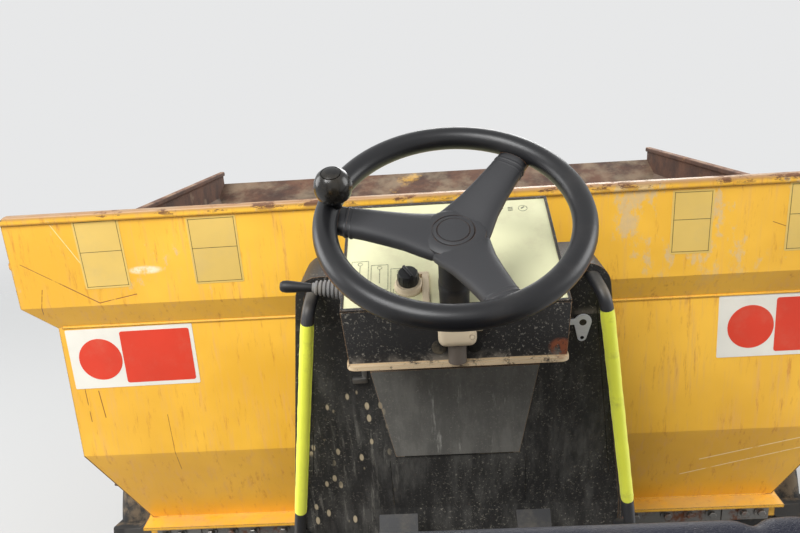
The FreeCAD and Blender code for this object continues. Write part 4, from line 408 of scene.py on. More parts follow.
def deck_plate(name):
    """Chequered floor plate: raised bars in two directions, rubbed bright on their tops."""
    f = Finish(name, Specular_IOR_Level=0.5)
    level = f.facing("Z").over(0.85, 0.97)
    bars = None
    for turn, shift in ((math.pi / 4, 0.0), (-math.pi / 4, 0.5)):
        at = f.stretched((38.0, 38.0, 38.0), (shift, 0.0, 0.0), (0.0, 0.0, turn))
        cell_x, cell_y = (f.node("ShaderNodeMath", {"operation": "PINGPONG"}, {0: f.part(at, axis), 1: 1.0})
                          for axis in "XY")
        bar = cell_x.over(0.28, 0.12) * cell_y.over(0.78, 0.60)
        bars = bar if bars is None else bars.most(bar)
    bars = bars * level
    base = f.mix(f.noise(5.0, 5.0), srgb(40, 40, 41), srgb(62, 60, 58))
    soil = f.noise(7.0, 8.0, 0.72).over(0.34, 0.78) * level * (1.0 - bars * 0.8)
    shown = f.mix(soil * 0.55, base, DUST)
    shown = f.mix(bars * 0.45, shown, srgb(126, 120, 112))
    chips = (f.edges(0.004) * 2.2 + f.noise(42.0, 5.0, 0.7) * 0.9).over(0.80, 0.92)
    shown = f.mix(chips, shown, RUST)
    return f.set(colour=shown, rough=0.55 + soil * 0.3 - bars * 0.12,
                 normal=f.bump(bars * 1.0 + f.noise(160.0, 4.0) * 0.15, 0.8, 0.0022))


def rubber(name, shade=30, dust=0.75, grain=150.0):
    f = Finish(name, Specular_IOR_Level=0.35)
    base = f.mix(f.noise(6.0, 4.0), srgb(shade, shade, shade + 1), srgb(shade + 18, shade + 17, shade + 16))
    dirt = f.noise(9.0, 6.0, 0.65).over(0.42, 0.7) * dust
    caught = f.edges(0.006).over(0.1, 0.45) * 0.4
    shown = f.mix(dirt.most(caught * f.noise(20.0, 4.0)), base, DUST)
    relief = f.noise(grain, 4.0, 0.7)
    return f.set(colour=shown, rough=0.72 + dirt * 0.2, normal=f.bump(relief, 0.45, 0.0012))


def plastic(name, colour, gloss=0.42, grain=420.0, dust=0.35, scuff=0.5):
    f = Finish(name, Specular_IOR_Level=0.45)
    paler = tuple(min(1.0, c * 1.5 + 0.03) for c in colour[:3]) + (1.0,)
    base = f.mix(f.noise(4.0, 4.0).over(0.3, 0.75), colour, tuple(c * 0.86 for c in colour[:3]) + (1.0,))
    rub = (f.edges(0.0025) * 2.0 + f.noise(55.0, 4.0, 0.7) * 0.7).over(0.85, 1.15) * scuff
    shown = f.mix(rub, base, paler)
    lying = f.noise(11.0, 6.0, 0.68).over(0.47, 0.72) * dust
    shown = f.mix(lying, shown, DUST)
    relief = f.cells(grain) * 0.5 + f.noise(grain * 0.6, 2.0) * 0.3
    return f.set(colour=shown, rough=gloss + lying * 0.35 + rub * 0.15, normal=f.bump(relief, 0.22, 0.0004))


def wheel_foam(name):
    """Soft black foam, shinier where hands held the rim, with tan dust in its joins and along worn edges."""
    f = Finish(name, Specular_IOR_Level=0.42)
    x, y, z = (f.part(f.place, axis) for axis in "XYZ")
    out = (x * x + (y + 0.245) * (y + 0.245) + (z - 1.9) * (z - 1.9)) ** 0.5
    rim = out.over(0.160, 0.168)
    base = f.mix(f.noise(5.0, 3.0), srgb(40, 40, 42), srgb(56, 56, 58))
    base = f.mix(rim, base, srgb(24, 24, 26))
    joins = (f.edges(0.0022) * 2.4 + f.noise(60.0, 5.0, 0.75) * 0.8).over(0.92, 1.12) * 0.65
    rubbed = f.noise(6.0, 6.0, 0.7).over(0.54, 0.80) * 0.16
    shown = f.mix(rubbed, base, srgb(92, 86, 80))
    shown = f.mix(joins * out.over(0.02, 0.06), shown, srgb(150, 106, 72))
    relief = f.cells(420.0) * 0.4 + f.noise(260.0, 3.0) * 0.4
    return f.set(colour=shown, rough=0.50 - rim * 0.16 + rubbed * 0.5 + joins * 0.2,
                 normal=f.bump(relief, 0.18, 0.0004))


def bare_metal(name, colour, gloss=0.38, rust=0.4, metal=1.0):
    f = Finish(name, Metallic=metal)
    brushed = f.noise(26.0, 5.0, 0.7, f.stretched((1.0, 9.0, 9.0)))
    base = f.mix(brushed, colour, tuple(c * 0.72 for c in colour[:3]) + (1.0,))
    rusted = f.noise(18.0, 6.0, 0.7).over(0.66 - 0.2 * rust, 0.78 - 0.16 * rust)
    browned = f.mix(f.noise(70.0, 4.0), RUST, srgb(86, 58, 40))
    shown = f.mix(rusted, base, browned)
    relief = brushed * 0.2 + rusted * f.noise(150.0, 3.0)
    return f.set(colour=shown, rough=gloss + brushed * 0.12 + rusted * 0.4,
                 metal=(1.0 - rusted * 0.85) * metal, normal=f.bump(relief, 0.3, 0.0008))


def chrome(name):
    f = Finish(name, Metallic=1.0)
    film = f.noise(30.0, 5.0, 0.7).over(0.5, 0.8)
    return f.set(colour=f.mix(film, srgb(214, 216, 220), srgb(160, 156, 148)), rough=0.09 + film * 0.22)


def lens(name, colour, dark):
    """A coloured plastic lens, lit from no lamp, with its moulded ribs seen through."""
    f = Finish(name, IOR=1.49, Coat_Weight=0.6, Coat_Roughness=0.08)
    ribs = f.noise(70.0, 2.0, 0.5, f.stretched((1.0, 1.0, 2.4)))
    base = f.mix(ribs.over(0.35, 0.65), colour, dark)
    film = f.noise(14.0, 5.0).over(0.55, 0.8) * 0.3
    return f.set(colour=f.mix(film, base, DUST), rough=0.16 + film * 0.5, normal=f.bump(ribs, 0.25, 0.001))


def vinyl(name, colour):
    f = Finish(name, Specular_IOR_Level=0.25)
    grain = f.cells(620.0, feature="DISTANCE_TO_EDGE")
    creases = f.noise(7.0, 5.0, 0.6, warp=1.2)
    base = f.mix(creases.over(0.3, 0.7), colour, tuple(c * 1.4 + 0.002 for c in colour[:3]) + (1.0,))
    dusty = f.noise(8.0, 6.0, 0.66).over(0.52, 0.8) * 0.14
    return f.set(colour=f.mix(dusty, base, DUST), rough=0.45 + dusty * 0.4,
                 normal=f.bump(grain.over(0.0, 0.12) * 0.6 + creases * 0.8, 0.3, 0.0012))


def sleeve_cloth(name):
    """The yellow-green sleeves of the hand rails, soiled by gloves."""
    f = Finish(name, Sheen_Weight=0.25, Sheen_Roughness=0.5)
    weave = f.noise(900.0, 2.0)
    soiled = f.noise(16.0, 6.0, 0.7).over(0.50, 0.76) * 0.42
    spots = f.noise(60.0, 4.0, 0.8).over(0.68, 0.76) * 0.5
    bright = tuple(bpy.context.scene.dumper_rails.hi_vis)
    base = f.mix(f.noise(6.0, 3.0), bright, srgb(238, 244, 62))
    shown = f.mix(spots, f.mix(soiled, base, srgb(126, 120, 70)), srgb(74, 66, 44))
    return f.set(colour=shown, rough=0.62 + soiled * 0.2, normal=f.bump(weave, 0.25, 0.0006))


def print_black(name):
    """Thin printed lines, rubbed away in places."""
    f = Finish(name, Roughness=0.6)
    worn = f.noise(300.0, 2.0).over(0.35, 0.6)
    return f.set(colour=f.mix(worn, srgb(58, 60, 56), srgb(150, 150, 126)))


# slot of the record, or look of a piece: how its finish is made
FINISHES = {
    "skip_paint": lambda: skip_paint("skip_paint", SKIP_YELLOW),
    "bonnet_paint": lambda: painted("bonnet_paint", SKIP_YELLOW, 0.3, 0.6, 0.5),
    "chassis_paint": lambda: painted("chassis_paint", srgb(52, 53, 56), 0.45, 0.9, 0.8),
    "hoop_paint": lambda: painted("hoop_paint", srgb(44, 45, 48), 0.36, 0.7, 0.6),
    "rim_paint": lambda: painted("rim_paint", srgb(196, 194, 188), 0.42, 1.0, 0.7),
    "engine_iron": lambda: painted("engine_iron", srgb(72, 76, 80), 0.6, 0.4, 0.8),
    "pedal_steel": lambda: painted("pedal_steel", srgb(36, 36, 38), 0.55, 0.7, 0.3, srgb(96, 90, 84)),
    "console_black": lambda: console_paint("console_black"),
    "dash_cream": lambda: plastic("dash_cream", CREAM, 0.5, 300.0, 0.3, 0.2),
    "grip_plastic": lambda: plastic("grip_plastic", srgb(24, 24, 26), 0.5, 380.0, 0.12, 0.4),
    "gloss_black": lambda: plastic("gloss_black", srgb(14, 14, 15), 0.22, 60.0, 0.06, 0.25),
    "wheel_foam": lambda: wheel_foam("wheel_foam"),
    "hi_vis": lambda: sleeve_cloth("hi_vis"),
    "tyre_rubber": lambda: tread_rubber("tyre_rubber"),
    "flap_rubber": lambda: rubber("flap_rubber", 26, 0.5, 60.0),
    "bare_steel": lambda: bare_metal("bare_steel", srgb(150, 148, 144), 0.42, 0.8),
    "rod_chrome": lambda: chrome("rod_chrome"),
    "seat_vinyl": lambda: vinyl("seat_vinyl", NAVY),
    "beacon_amber": lambda: lens("beacon_amber", srgb(238, 132, 18), srgb(180, 76, 6)),
    "lamp_red": lambda: lens("lamp_red", srgb(190, 16, 14), srgb(120, 6, 8)),
    "worn_beige": lambda: painted("worn_beige", srgb(212, 194, 164), 0.6, 1.3, 0.7, srgb(70, 50, 38), 0.003),
    "worn_brown": lambda: painted("worn_brown", srgb(88, 78, 68), 0.6, 1.0, 0.6, srgb(60, 44, 34), 0.003),
    "zinc": lambda: bare_metal("zinc", srgb(196, 200, 206), 0.34, 0.1, 0.45),
    "new_zinc": lambda: bare_metal("new_zinc", srgb(238, 240, 242), 0.42, 0.05, 0.1),
    "deck_plate": lambda: deck_plate("deck_plate"),
    "sign_white": lambda: plastic("sign_white", srgb(236, 232, 220), 0.4, 200.0, 0.12, 0.1),
    "sign_red": lambda: plastic("sign_red", srgb(222, 62, 36), 0.4, 200.0, 0.12, 0.1),
    "decal_yellow": lambda: plastic("decal_yellow", srgb(230, 194, 104), 0.42, 200.0, 0.15, 0.2),
    "ink": lambda: plastic("ink", srgb(96, 84, 44), 0.5, 200.0, 0.1, 0.1),
    "print_black": lambda: print_black("print_black"),
    "piping": lambda: vinyl("piping", srgb(20, 22, 34)),
    "lens_clear": lambda: lens("lens_clear", srgb(214, 214, 206), srgb(150, 150, 146)),
    "hose_rubber": lambda: rubber("hose_rubber", 34, 0.5, 500.0),
    # near-black finish: painted shade in slits, fold lines, openings and hollows, and the dark joints between
    # the clamp strips
    "recess": lambda: plastic("recess", srgb(14, 13, 12), 0.8, 200.0, 0.3, 0.1),
    "dusty_rubber": lambda: rubber("dusty_rubber", 112, 0.45, 300.0),
}
# nodes whose finish isn't their slot's plain one
OWN_FINISH = {"platform": "deck_plate", "pedals": "grip_plastic"}
MADE = {}


def finish_of(slot):
    if slot not in MADE:
        MADE[slot] = FINISHES[slot]()
    return MADE[slot]


def aim(place, target):
    """A matrix at place whose -Z looks at target."""
    look = (Vector(target) - Vector(place)).to_track_quat("-Z", "Y")
    return Matrix.Translation(place) @ look.to_matrix().to_4x4()


def circle(radius, steps, middle=(0.0, 0.0)):
    """Points round a circle, anticlockwise from its right."""
    turns = (k * math.tau / steps for k in range(steps))
    return [(middle[0] + radius * math.cos(a), middle[1] + radius * math.sin(a)) for a in turns]


def arc(radius, start, stop, step, middle=(0.0, 0.0), rise=None):
    """Points on an arc between two angles in degrees; rise is its radius along y where that differs."""
    turns = (math.radians(a) for a in range(start, stop, step))
    rise = radius if rise is None else rise
    return [(middle[0] + radius * math.cos(a), middle[1] + rise * math.sin(a)) for a in turns]


def around(at, count, out=0.0, up=0.0, start=0.0):
    """Matrices evenly turned round the Z axis of at, each moved out along its own X and up."""
    for k in range(count):
        turn = Matrix.Rotation((k + start) * math.tau / count, 4, "Z")
        yield at @ turn @ Matrix.Translation((out, 0.0, up))


def stand(place, up=Z, across=X):
    """A matrix at place with its own Z along up and its X as near across as it can be."""
    up = Vector(up).normalized()
    side = (Vector(across) - up * Vector(across).dot(up)).normalized()
    return Matrix.Translation(place) @ Matrix((side, up.cross(side), up)).transposed().to_4x4()


class Shape:
    """A mesh in the making from bmesh operators, finished as an object at the origin."""

    def __init__(self):
        self.bm = bmesh.new()

    def block(self, size, at, bevel=0.0, steps=2):
        made = bmesh.ops.create_cube(self.bm, size=1.0, matrix=at @ Matrix.Diagonal((*size, 1.0)))["verts"]
        if bevel:
            self.round_off({e for v in made for e in v.link_edges}, bevel, steps)
        return made

    def round_off(self, edges, width, steps=2):
        bmesh.ops.bevel(self.bm, geom=list(edges), offset=width, segments=steps, profile=0.5, affect="EDGES",
                        material=-1, clamp_overlap=True)

    def turn(self, profile, at, steps=48, closed=False, sweep=math.tau):
        """A profile of (radius, height) turned round the matrix's own Z."""
        verts = [self.bm.verts.new(at @ Vector((r, 0.0, h))) for r, h in profile]
        pairs = list(zip(verts, verts[1:])) + ([(verts[-1], verts[0])] if closed else [])
        edges = [self.bm.edges.new(pair) for pair in pairs]
        axis = (at.to_3x3() @ Z).normalized()
        full = abs(sweep - math.tau) < 1e-6
        bmesh.ops.spin(self.bm, geom=verts + edges, cent=at.translation, axis=axis, angle=sweep, steps=steps,
                       use_merge=full)

    def plate(self, outline, at, thick, bevel=0.0, steps=1):
        """An outline in the matrix's own X and Y, given a thickness along its Z."""
        face = self.bm.faces.new([self.bm.verts.new(at @ Vector((x, y, 0.0))) for x, y in outline])
        grown = bmesh.ops.extrude_face_region(self.bm, geom=[face])["geom"]
        top = [v for v in grown if isinstance(v, bmesh.types.BMVert)]
        bmesh.ops.translate(self.bm, verts=top, vec=(at.to_3x3() @ Z) * thick)
        if bevel:
            rims = [e for f in grown if isinstance(f, bmesh.types.BMFace) for e in f.edges]
            self.round_off(rims, bevel, steps)
        return top

    def loft(self, rings, capped=True, closed=False):
        """Rings of points joined in turn."""
        loops = []
        for ring in rings:
            verts = [self.bm.verts.new(p) for p in ring]
            loops.append([self.bm.edges.new((verts[i - 1], verts[i])) for i in range(len(verts))])
        made = []
        pairs = list(zip(loops, loops[1:])) + ([(loops[-1], loops[0])] if closed else [])
        for near, far in pairs:
            made += bmesh.ops.bridge_loops(self.bm, edges=near + far)["faces"]
        if capped and not closed:
            for loop in (loops[0], loops[-1]):
                made += bmesh.ops.contextual_create(self.bm, geom=loop)["faces"]
        return made

    def tube(self, points, radius, order=3, sides=4, closed=False):
        """A round tube along a smooth line near the points."""
        line = bpy.data.curves.new("line", "CURVE")
        line.dimensions = "3D"
        line.bevel_depth = radius
        line.bevel_resolution = sides
        line.resolution_u = 8
        line.use_fill_caps = not closed
        run = line.splines.new("NURBS")
        run.points.add(len(points) - 1)
        for spot, point in zip(run.points, points):
            spot.co = (*point, 1.0)
        run.order_u = order
        run.use_endpoint_u = not closed
        run.use_cyclic_u = closed
        carrier = bpy.data.objects.new("line", line)
        mesh = bpy.data.meshes.new_from_object(carrier)
        self.bm.from_mesh(mesh)
        bpy.data.objects.remove(carrier)
        bpy.data.curves.remove(line)
        bpy.data.meshes.remove(mesh)

    def again(self, matrices):
        """The shape so far, repeated at each matrix in place of once."""
        source = self.bm.verts[:] + self.bm.edges[:] + self.bm.faces[:]
        for matrix in matrices:
            copied = bmesh.ops.duplicate(self.bm, geom=source)["geom"]
            bmesh.ops.transform(self.bm, matrix=matrix,
                                verts=[v for v in copied if isinstance(v, bmesh.types.BMVert)])
        first = [v for v in source if isinstance(v, bmesh.types.BMVert)]
        bmesh.ops.delete(self.bm, geom=first, context="VERTS")

    def hexagon(self, at, across, high, washer=True):
        """A bolt's head or nut on the matrix's own Z, with a washer under it."""
        if washer:
            wide, thick = across * 0.98, across * 0.14
            self.turn([(0.0, 0.0), (wide, 0.0), (wide, thick), (0.0, thick)], at, 16)
        foot = at @ Matrix.Translation((0, 0, across * 0.1))
        self.plate(circle(across * 0.577, 6), foot, high, across * 0.07)

    def done(self, name, body, slot, look=None, crease=38.0, replaces=(), merge=0.00002):
        """Closes the mesh as one object on a body, in its slot's finish unless look names another."""
        bmesh.ops.remove_doubles(self.bm, verts=self.bm.verts, dist=merge)
        bmesh.ops.dissolve_degenerate(self.bm, edges=self.bm.edges, dist=1e-6)
        bmesh.ops.recalc_face_normals(self.bm, faces=self.bm.faces)
        for face in self.bm.faces:
            face.smooth = True
        for edge in self.bm.edges:
            edge.smooth = len(edge.link_faces) != 2 or edge.calc_face_angle() < math.radians(crease)
        mesh = bpy.data.meshes.new(name)
        self.bm.to_mesh(mesh)
        self.bm.free()
        piece = bpy.data.objects.new(name, mesh)
        bpy.context.scene.collection.objects.link(piece)
        mesh.materials.append(finish_of(look or slot))
        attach(piece, body)
        if replaces:
            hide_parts(*replaces)
        return piece


# Steering wheel: its rim plane, a little above the dash
WHEEL_TILT = math.radians(28.5)
WHEEL_WAY = Vector((0, -math.sin(WHEEL_TILT), math.cos(WHEEL_TILT)))
WHEEL = stand((0.0, -0.245, 1.9), WHEEL_WAY)
WHEEL_ANGLES = (53.0, 173.0, -68.5)
KNOB_ANGLE = 170.5


def in_wheel(angle, radius, height):
    turn = math.radians(angle)
    return WHEEL @ Vector((radius * math.cos(turn), radius * math.sin(turn), height))


class WheelSizes(bpy.types.PropertyGroup):
    across: FloatProperty(name="Wheel diameter", description="Outer diameter of the steering wheel",
                          default=0.408, unit="LENGTH", min=0.2)
    grip: FloatProperty(name="Rim thickness", description="Diameter of the rim's grip", default=0.036,
                        unit="LENGTH", min=0.01)
    hub_radius: FloatProperty(name="Hub radius", description="Radius of the middle cap", default=0.0315,
                              unit="LENGTH", min=0.01)


class DUMPER_OT_steering_wheel(bpy.types.Operator):
    """Models the three-spoke wheel with its hub cap and the spinner knob on its rim"""
    bl_idname = "dumper.steering_wheel"
    bl_label = "Steering wheel"

    def execute(self, context):
        sizes = context.scene.dumper_wheel
        grip = sizes.grip / 2
        middle = sizes.across / 2 - grip
        form = Shape()
        form.turn(circle(grip, 24, (middle, 0.0)), WHEEL, 96, closed=True)
        cap = sizes.hub_radius
        form.turn([(0, -0.054), (0.034, -0.054), (0.045, -0.049), (0.050, -0.038), (0.048, -0.030),
                   (0.042, -0.0265), (cap + 0.0012, -0.0262), (cap, -0.0285), (cap - 0.0012, -0.0262),
                   (cap - 0.003, -0.0255),
                   (0.0255, -0.0252), (0.0243, -0.0268), (0.0231, -0.0250), (0.012, -0.0236), (0, -0.0232)],
                  WHEEL, 64)
        form.turn([(0.012, -0.056), (0.022, -0.054), (0.022, -0.078), (0.013, -0.078)], WHEEL, 32)
        # distance out, width, thickness, height of each section of a spoke
        stations = ((0.010, 0.092, 0.024, -0.042), (0.030, 0.092, 0.028, -0.041),
                    (0.048, 0.082, 0.030, -0.038), (0.070, 0.070, 0.031, -0.033),
                    (0.100, 0.061, 0.031, -0.027), (0.130, 0.055, 0.030, -0.021),
                    (0.158, 0.051, 0.029, -0.0165), (0.172, 0.050, 0.029, -0.013),
                    (middle, 0.060, 0.030, -0.006))
        for angle in WHEEL_ANGLES:
            form.loft([self.section(angle, *row) for row in stations])
        form.done("steering_wheel_shaped", "steering_wheel", "grip_plastic", look="wheel_foam",
                  replaces=("steering_wheel",))
        bands = Shape()
        for angle in WHEEL_ANGLES:
            for out, height in ((0.1465, -0.0188), (0.1545, -0.0173)):
                bands.loft([self.section(angle, out + step, 0.0525 + wider, thick, height)
                            for step, wider, thick in ((0.0, 0.0, 0.0298), (0.0012, 0.0014, 0.0314),
                                                       (0.004, 0.0014, 0.0314), (0.0052, 0.0, 0.0298))])
        bands.done("spoke_bands", "steering_wheel", "grip_plastic", look="wheel_foam")
        knob = Shape()
        foot = stand(in_wheel(KNOB_ANGLE, middle - 0.014, 0.0085), WHEEL_WAY)
        knob.turn([(0, 0), (0.009, 0), (0.009, 0.0135), (0.0125, 0.0145), (0.0135, 0.0175), (0.019, 0.0185),
                   (0.0255, 0.0245), (0.0278, 0.0325), (0.0278, 0.0395), (0.0262, 0.0475), (0.0222, 0.0555),
                   (0.0168, 0.0608), (0.0150, 0.0619), (0.0146, 0.0606), (0.0138, 0.0606), (0.0133, 0.0624),
                   (0.0080, 0.0645), (0, 0.0652)], foot, 56)
        knob.done("spinner_knob_shaped", "steering_wheel", "gloss_black", replaces=("spinner_knob",),
                  crease=50.0)
        return {"FINISHED"}

    @staticmethod
    def section(angle, out, width, thick, height):
        """A flat oval section across a spoke."""
        centre = in_wheel(angle, out, height)
        across = in_wheel(angle + 90, 1.0, 0.0) - in_wheel(0, 0.0, 0.0)
        ring = []
        for k in range(20):
            c, s = math.cos(k * math.tau / 20), math.sin(k * math.tau / 20)
            ring.append(centre + across * math.copysign(abs(c) ** 0.7, c) * width / 2
                        + WHEEL_WAY * math.copysign(abs(s) ** 0.8, s) * thick / 2)
        return ring


# Console: the sloping face and the pod over it
FACE_TOP = Vector((0.0, -0.022, 1.748))
FACE_FOOT = Vector((0.0, 0.076, 1.165))
FACE_UP = (FACE_TOP - FACE_FOOT).normalized()
FACE_OUT = Vector((0, -FACE_UP.z, FACE_UP.y))
POD_UP = Vector((0, 0.249, 0.114)).normalized()
POD_OUT = Vector((0, -POD_UP.z, POD_UP.y))
POD_EDGE = Vector((0.0, -0.166, 1.728))


def on_face(x, z, proud=0.0):
    """A matrix on the console's face: X across, Y up the face, Z out of it."""
    spot = FACE_FOOT + FACE_UP * ((z - FACE_FOOT.z) / FACE_UP.z) + X * x + FACE_OUT * proud
    return stand(spot, FACE_OUT, X)


def on_pod(x, along, proud=0.003):
    """A matrix on the cream panel: along is the distance up from the pod's rear edge."""
    return stand(POD_EDGE + X * x + POD_UP * along + POD_OUT * proud, POD_OUT, X)


def round_corners(half_wide, half_high, radius, steps=4):
    """A rounded rectangle's outline."""
    outline = []
    for corner, (sx, sy) in enumerate(((1, 1), (-1, 1), (-1, -1), (1, -1))):
        for k in range(steps + 1):
            a = math.radians(90 * corner + 90 * k / steps)
            outline.append((sx * (half_wide - radius) + radius * math.cos(a),
                            sy * (half_high - radius) + radius * math.sin(a)))
    return outline


class DUMPER_OT_dash(bpy.types.Operator):
    """Dresses the dash: its frame, printed boxes, the switch on its collar and the stub beside the column"""
    bl_idname = "dumper.dash"
    bl_label = "Dash"

    def execute(self, context):
        frame_edge = Shape()
        # the black frame round the cream panel: middle x, middle along, half width, half height
        for x, along, wide, high in ((-0.1852, 0.137, 0.0026, 0.137), (0.1852, 0.137, 0.0026, 0.137),
                                     (0.0, 0.003, 0.188, 0.003), (0.0, 0.271, 0.188, 0.003)):
            frame_edge.block((wide * 2, high * 2, 0.005), on_pod(x, along, 0.0025), 0.0012)
        frame_edge.done("dash_frame", "rear_chassis", "console_black")
        cream = Shape()
        cream.block((0.3652, 0.2620, 0.003), on_pod(0.0, 0.137, 0.0015), 0.0006)
        cream.done("dash_plate", "rear_chassis", "dash_cream", replaces=("dash_panel",))
        ink = Shape()
        # printed boxes without words: middle x, middle along, half width, half height
        boxes = [(-0.158 + 0.034 * i, 0.088 - 0.011 * i, 0.0145, 0.030) for i in range(3)]
        boxes += [(-0.070, 0.030, 0.030, 0.016)]
        for x, along, wide, high in boxes:
            for dx, dy, w, h in ((0, high, wide, 0.0004), (0, -high, wide, 0.0004), (wide, 0, 0.0004, high),
                                 (-wide, 0, 0.0004, high)):
                ink.block((w * 2, h * 2, 0.0004), on_pod(x + dx, along + dy, 0.0032))
        for i in range(3):
            x, along = boxes[i][:2]
            ink.block((0.001, 0.034, 0.0004), on_pod(x, along + 0.002, 0.0032))
            self.ring(ink, x, along + 0.023, 0.0042)
        # the row of gauge marks at the top right: a fan, two bars and a dial
        for step in (-0.004, 0.000, 0.004):
            ink.block((0.009, 0.0020, 0.0004), on_pod(0.117, 0.242 + step, 0.0032))
        self.ring(ink, 0.140, 0.242, 0.0085)
        ink.block((0.008, 0.0026, 0.0004), on_pod(0.140, 0.244, 0.0032) @ Matrix.Rotation(0.7, 4, "Z"))
        for turn in (0.3, 2.4, 4.5):
            at = on_pod(0.094, 0.242, 0.0032) @ Matrix.Rotation(turn, 4, "Z")
            ink.block((0.009, 0.0044, 0.0004), at @ Matrix.Translation((0.0055, 0, 0)))
        ink.done("dash_print", "rear_chassis", "grip_plastic", look="print_black")
        collar = Shape()
        seat = on_pod(-0.074, 0.050)
        collar.turn([(0, 0), (0.0245, 0), (0.0245, 0.004), (0.0225, 0.0065), (0.0222, 0.0105),
                     (0.0205, 0.0125), (0, 0.0125)], seat, 40)
        for x, along, wide, high in ((-0.046, 0.038, 0.0060, 0.036), (-0.052, 0.074, 0.0120, 0.0035)):
            collar.block((wide * 2, high * 2, 0.009), on_pod(x, along, 0.007), 0.002)
        collar.done("switch_collar", "rear_chassis", "dash_cream", look="worn_beige")
        knob = Shape()
        top = seat @ Matrix.Translation((0, 0, 0.0125))
        knob.turn([(0, 0), (0.0165, 0), (0.0172, 0.003), (0.0168, 0.018), (0.0152, 0.0215), (0.0, 0.0225)],
                  top, 40)
        for at in around(top, 12, 0.0168, 0.0105):
            knob.block((0.0022, 0.0032, 0.015), at, 0.0006)
        pointer = top @ Matrix.Rotation(0.5, 4, "Z") @ Matrix.Translation((0, 0, 0.0235))
        knob.block((0.005, 0.030, 0.0045), pointer, 0.0012)
        knob.done("switch_knob", "rear_chassis", "grip_plastic", crease=50.0)
        stub = Shape()
        stub.block((0.017, 0.022, 0.016), on_pod(-0.016, 0.022, 0.009), 0.002)
        stub.turn([(0, 0), (0.0052, 0), (0.0052, 0.004), (0.0042, 0.006), (0, 0.006)],
                  on_pod(-0.016, 0.022, 0.017), 20)
        stub.done("column_stub", "rear_chassis", "bare_steel")
        return {"FINISHED"}

    @staticmethod
    def ring(form, x, along, radius):
        form.turn([(radius, 0.0001), (radius, 0.0004), (radius - 0.0008, 0.0004), (radius - 0.0008, 0.0001)],
                  on_pod(x, along), 24, closed=True)


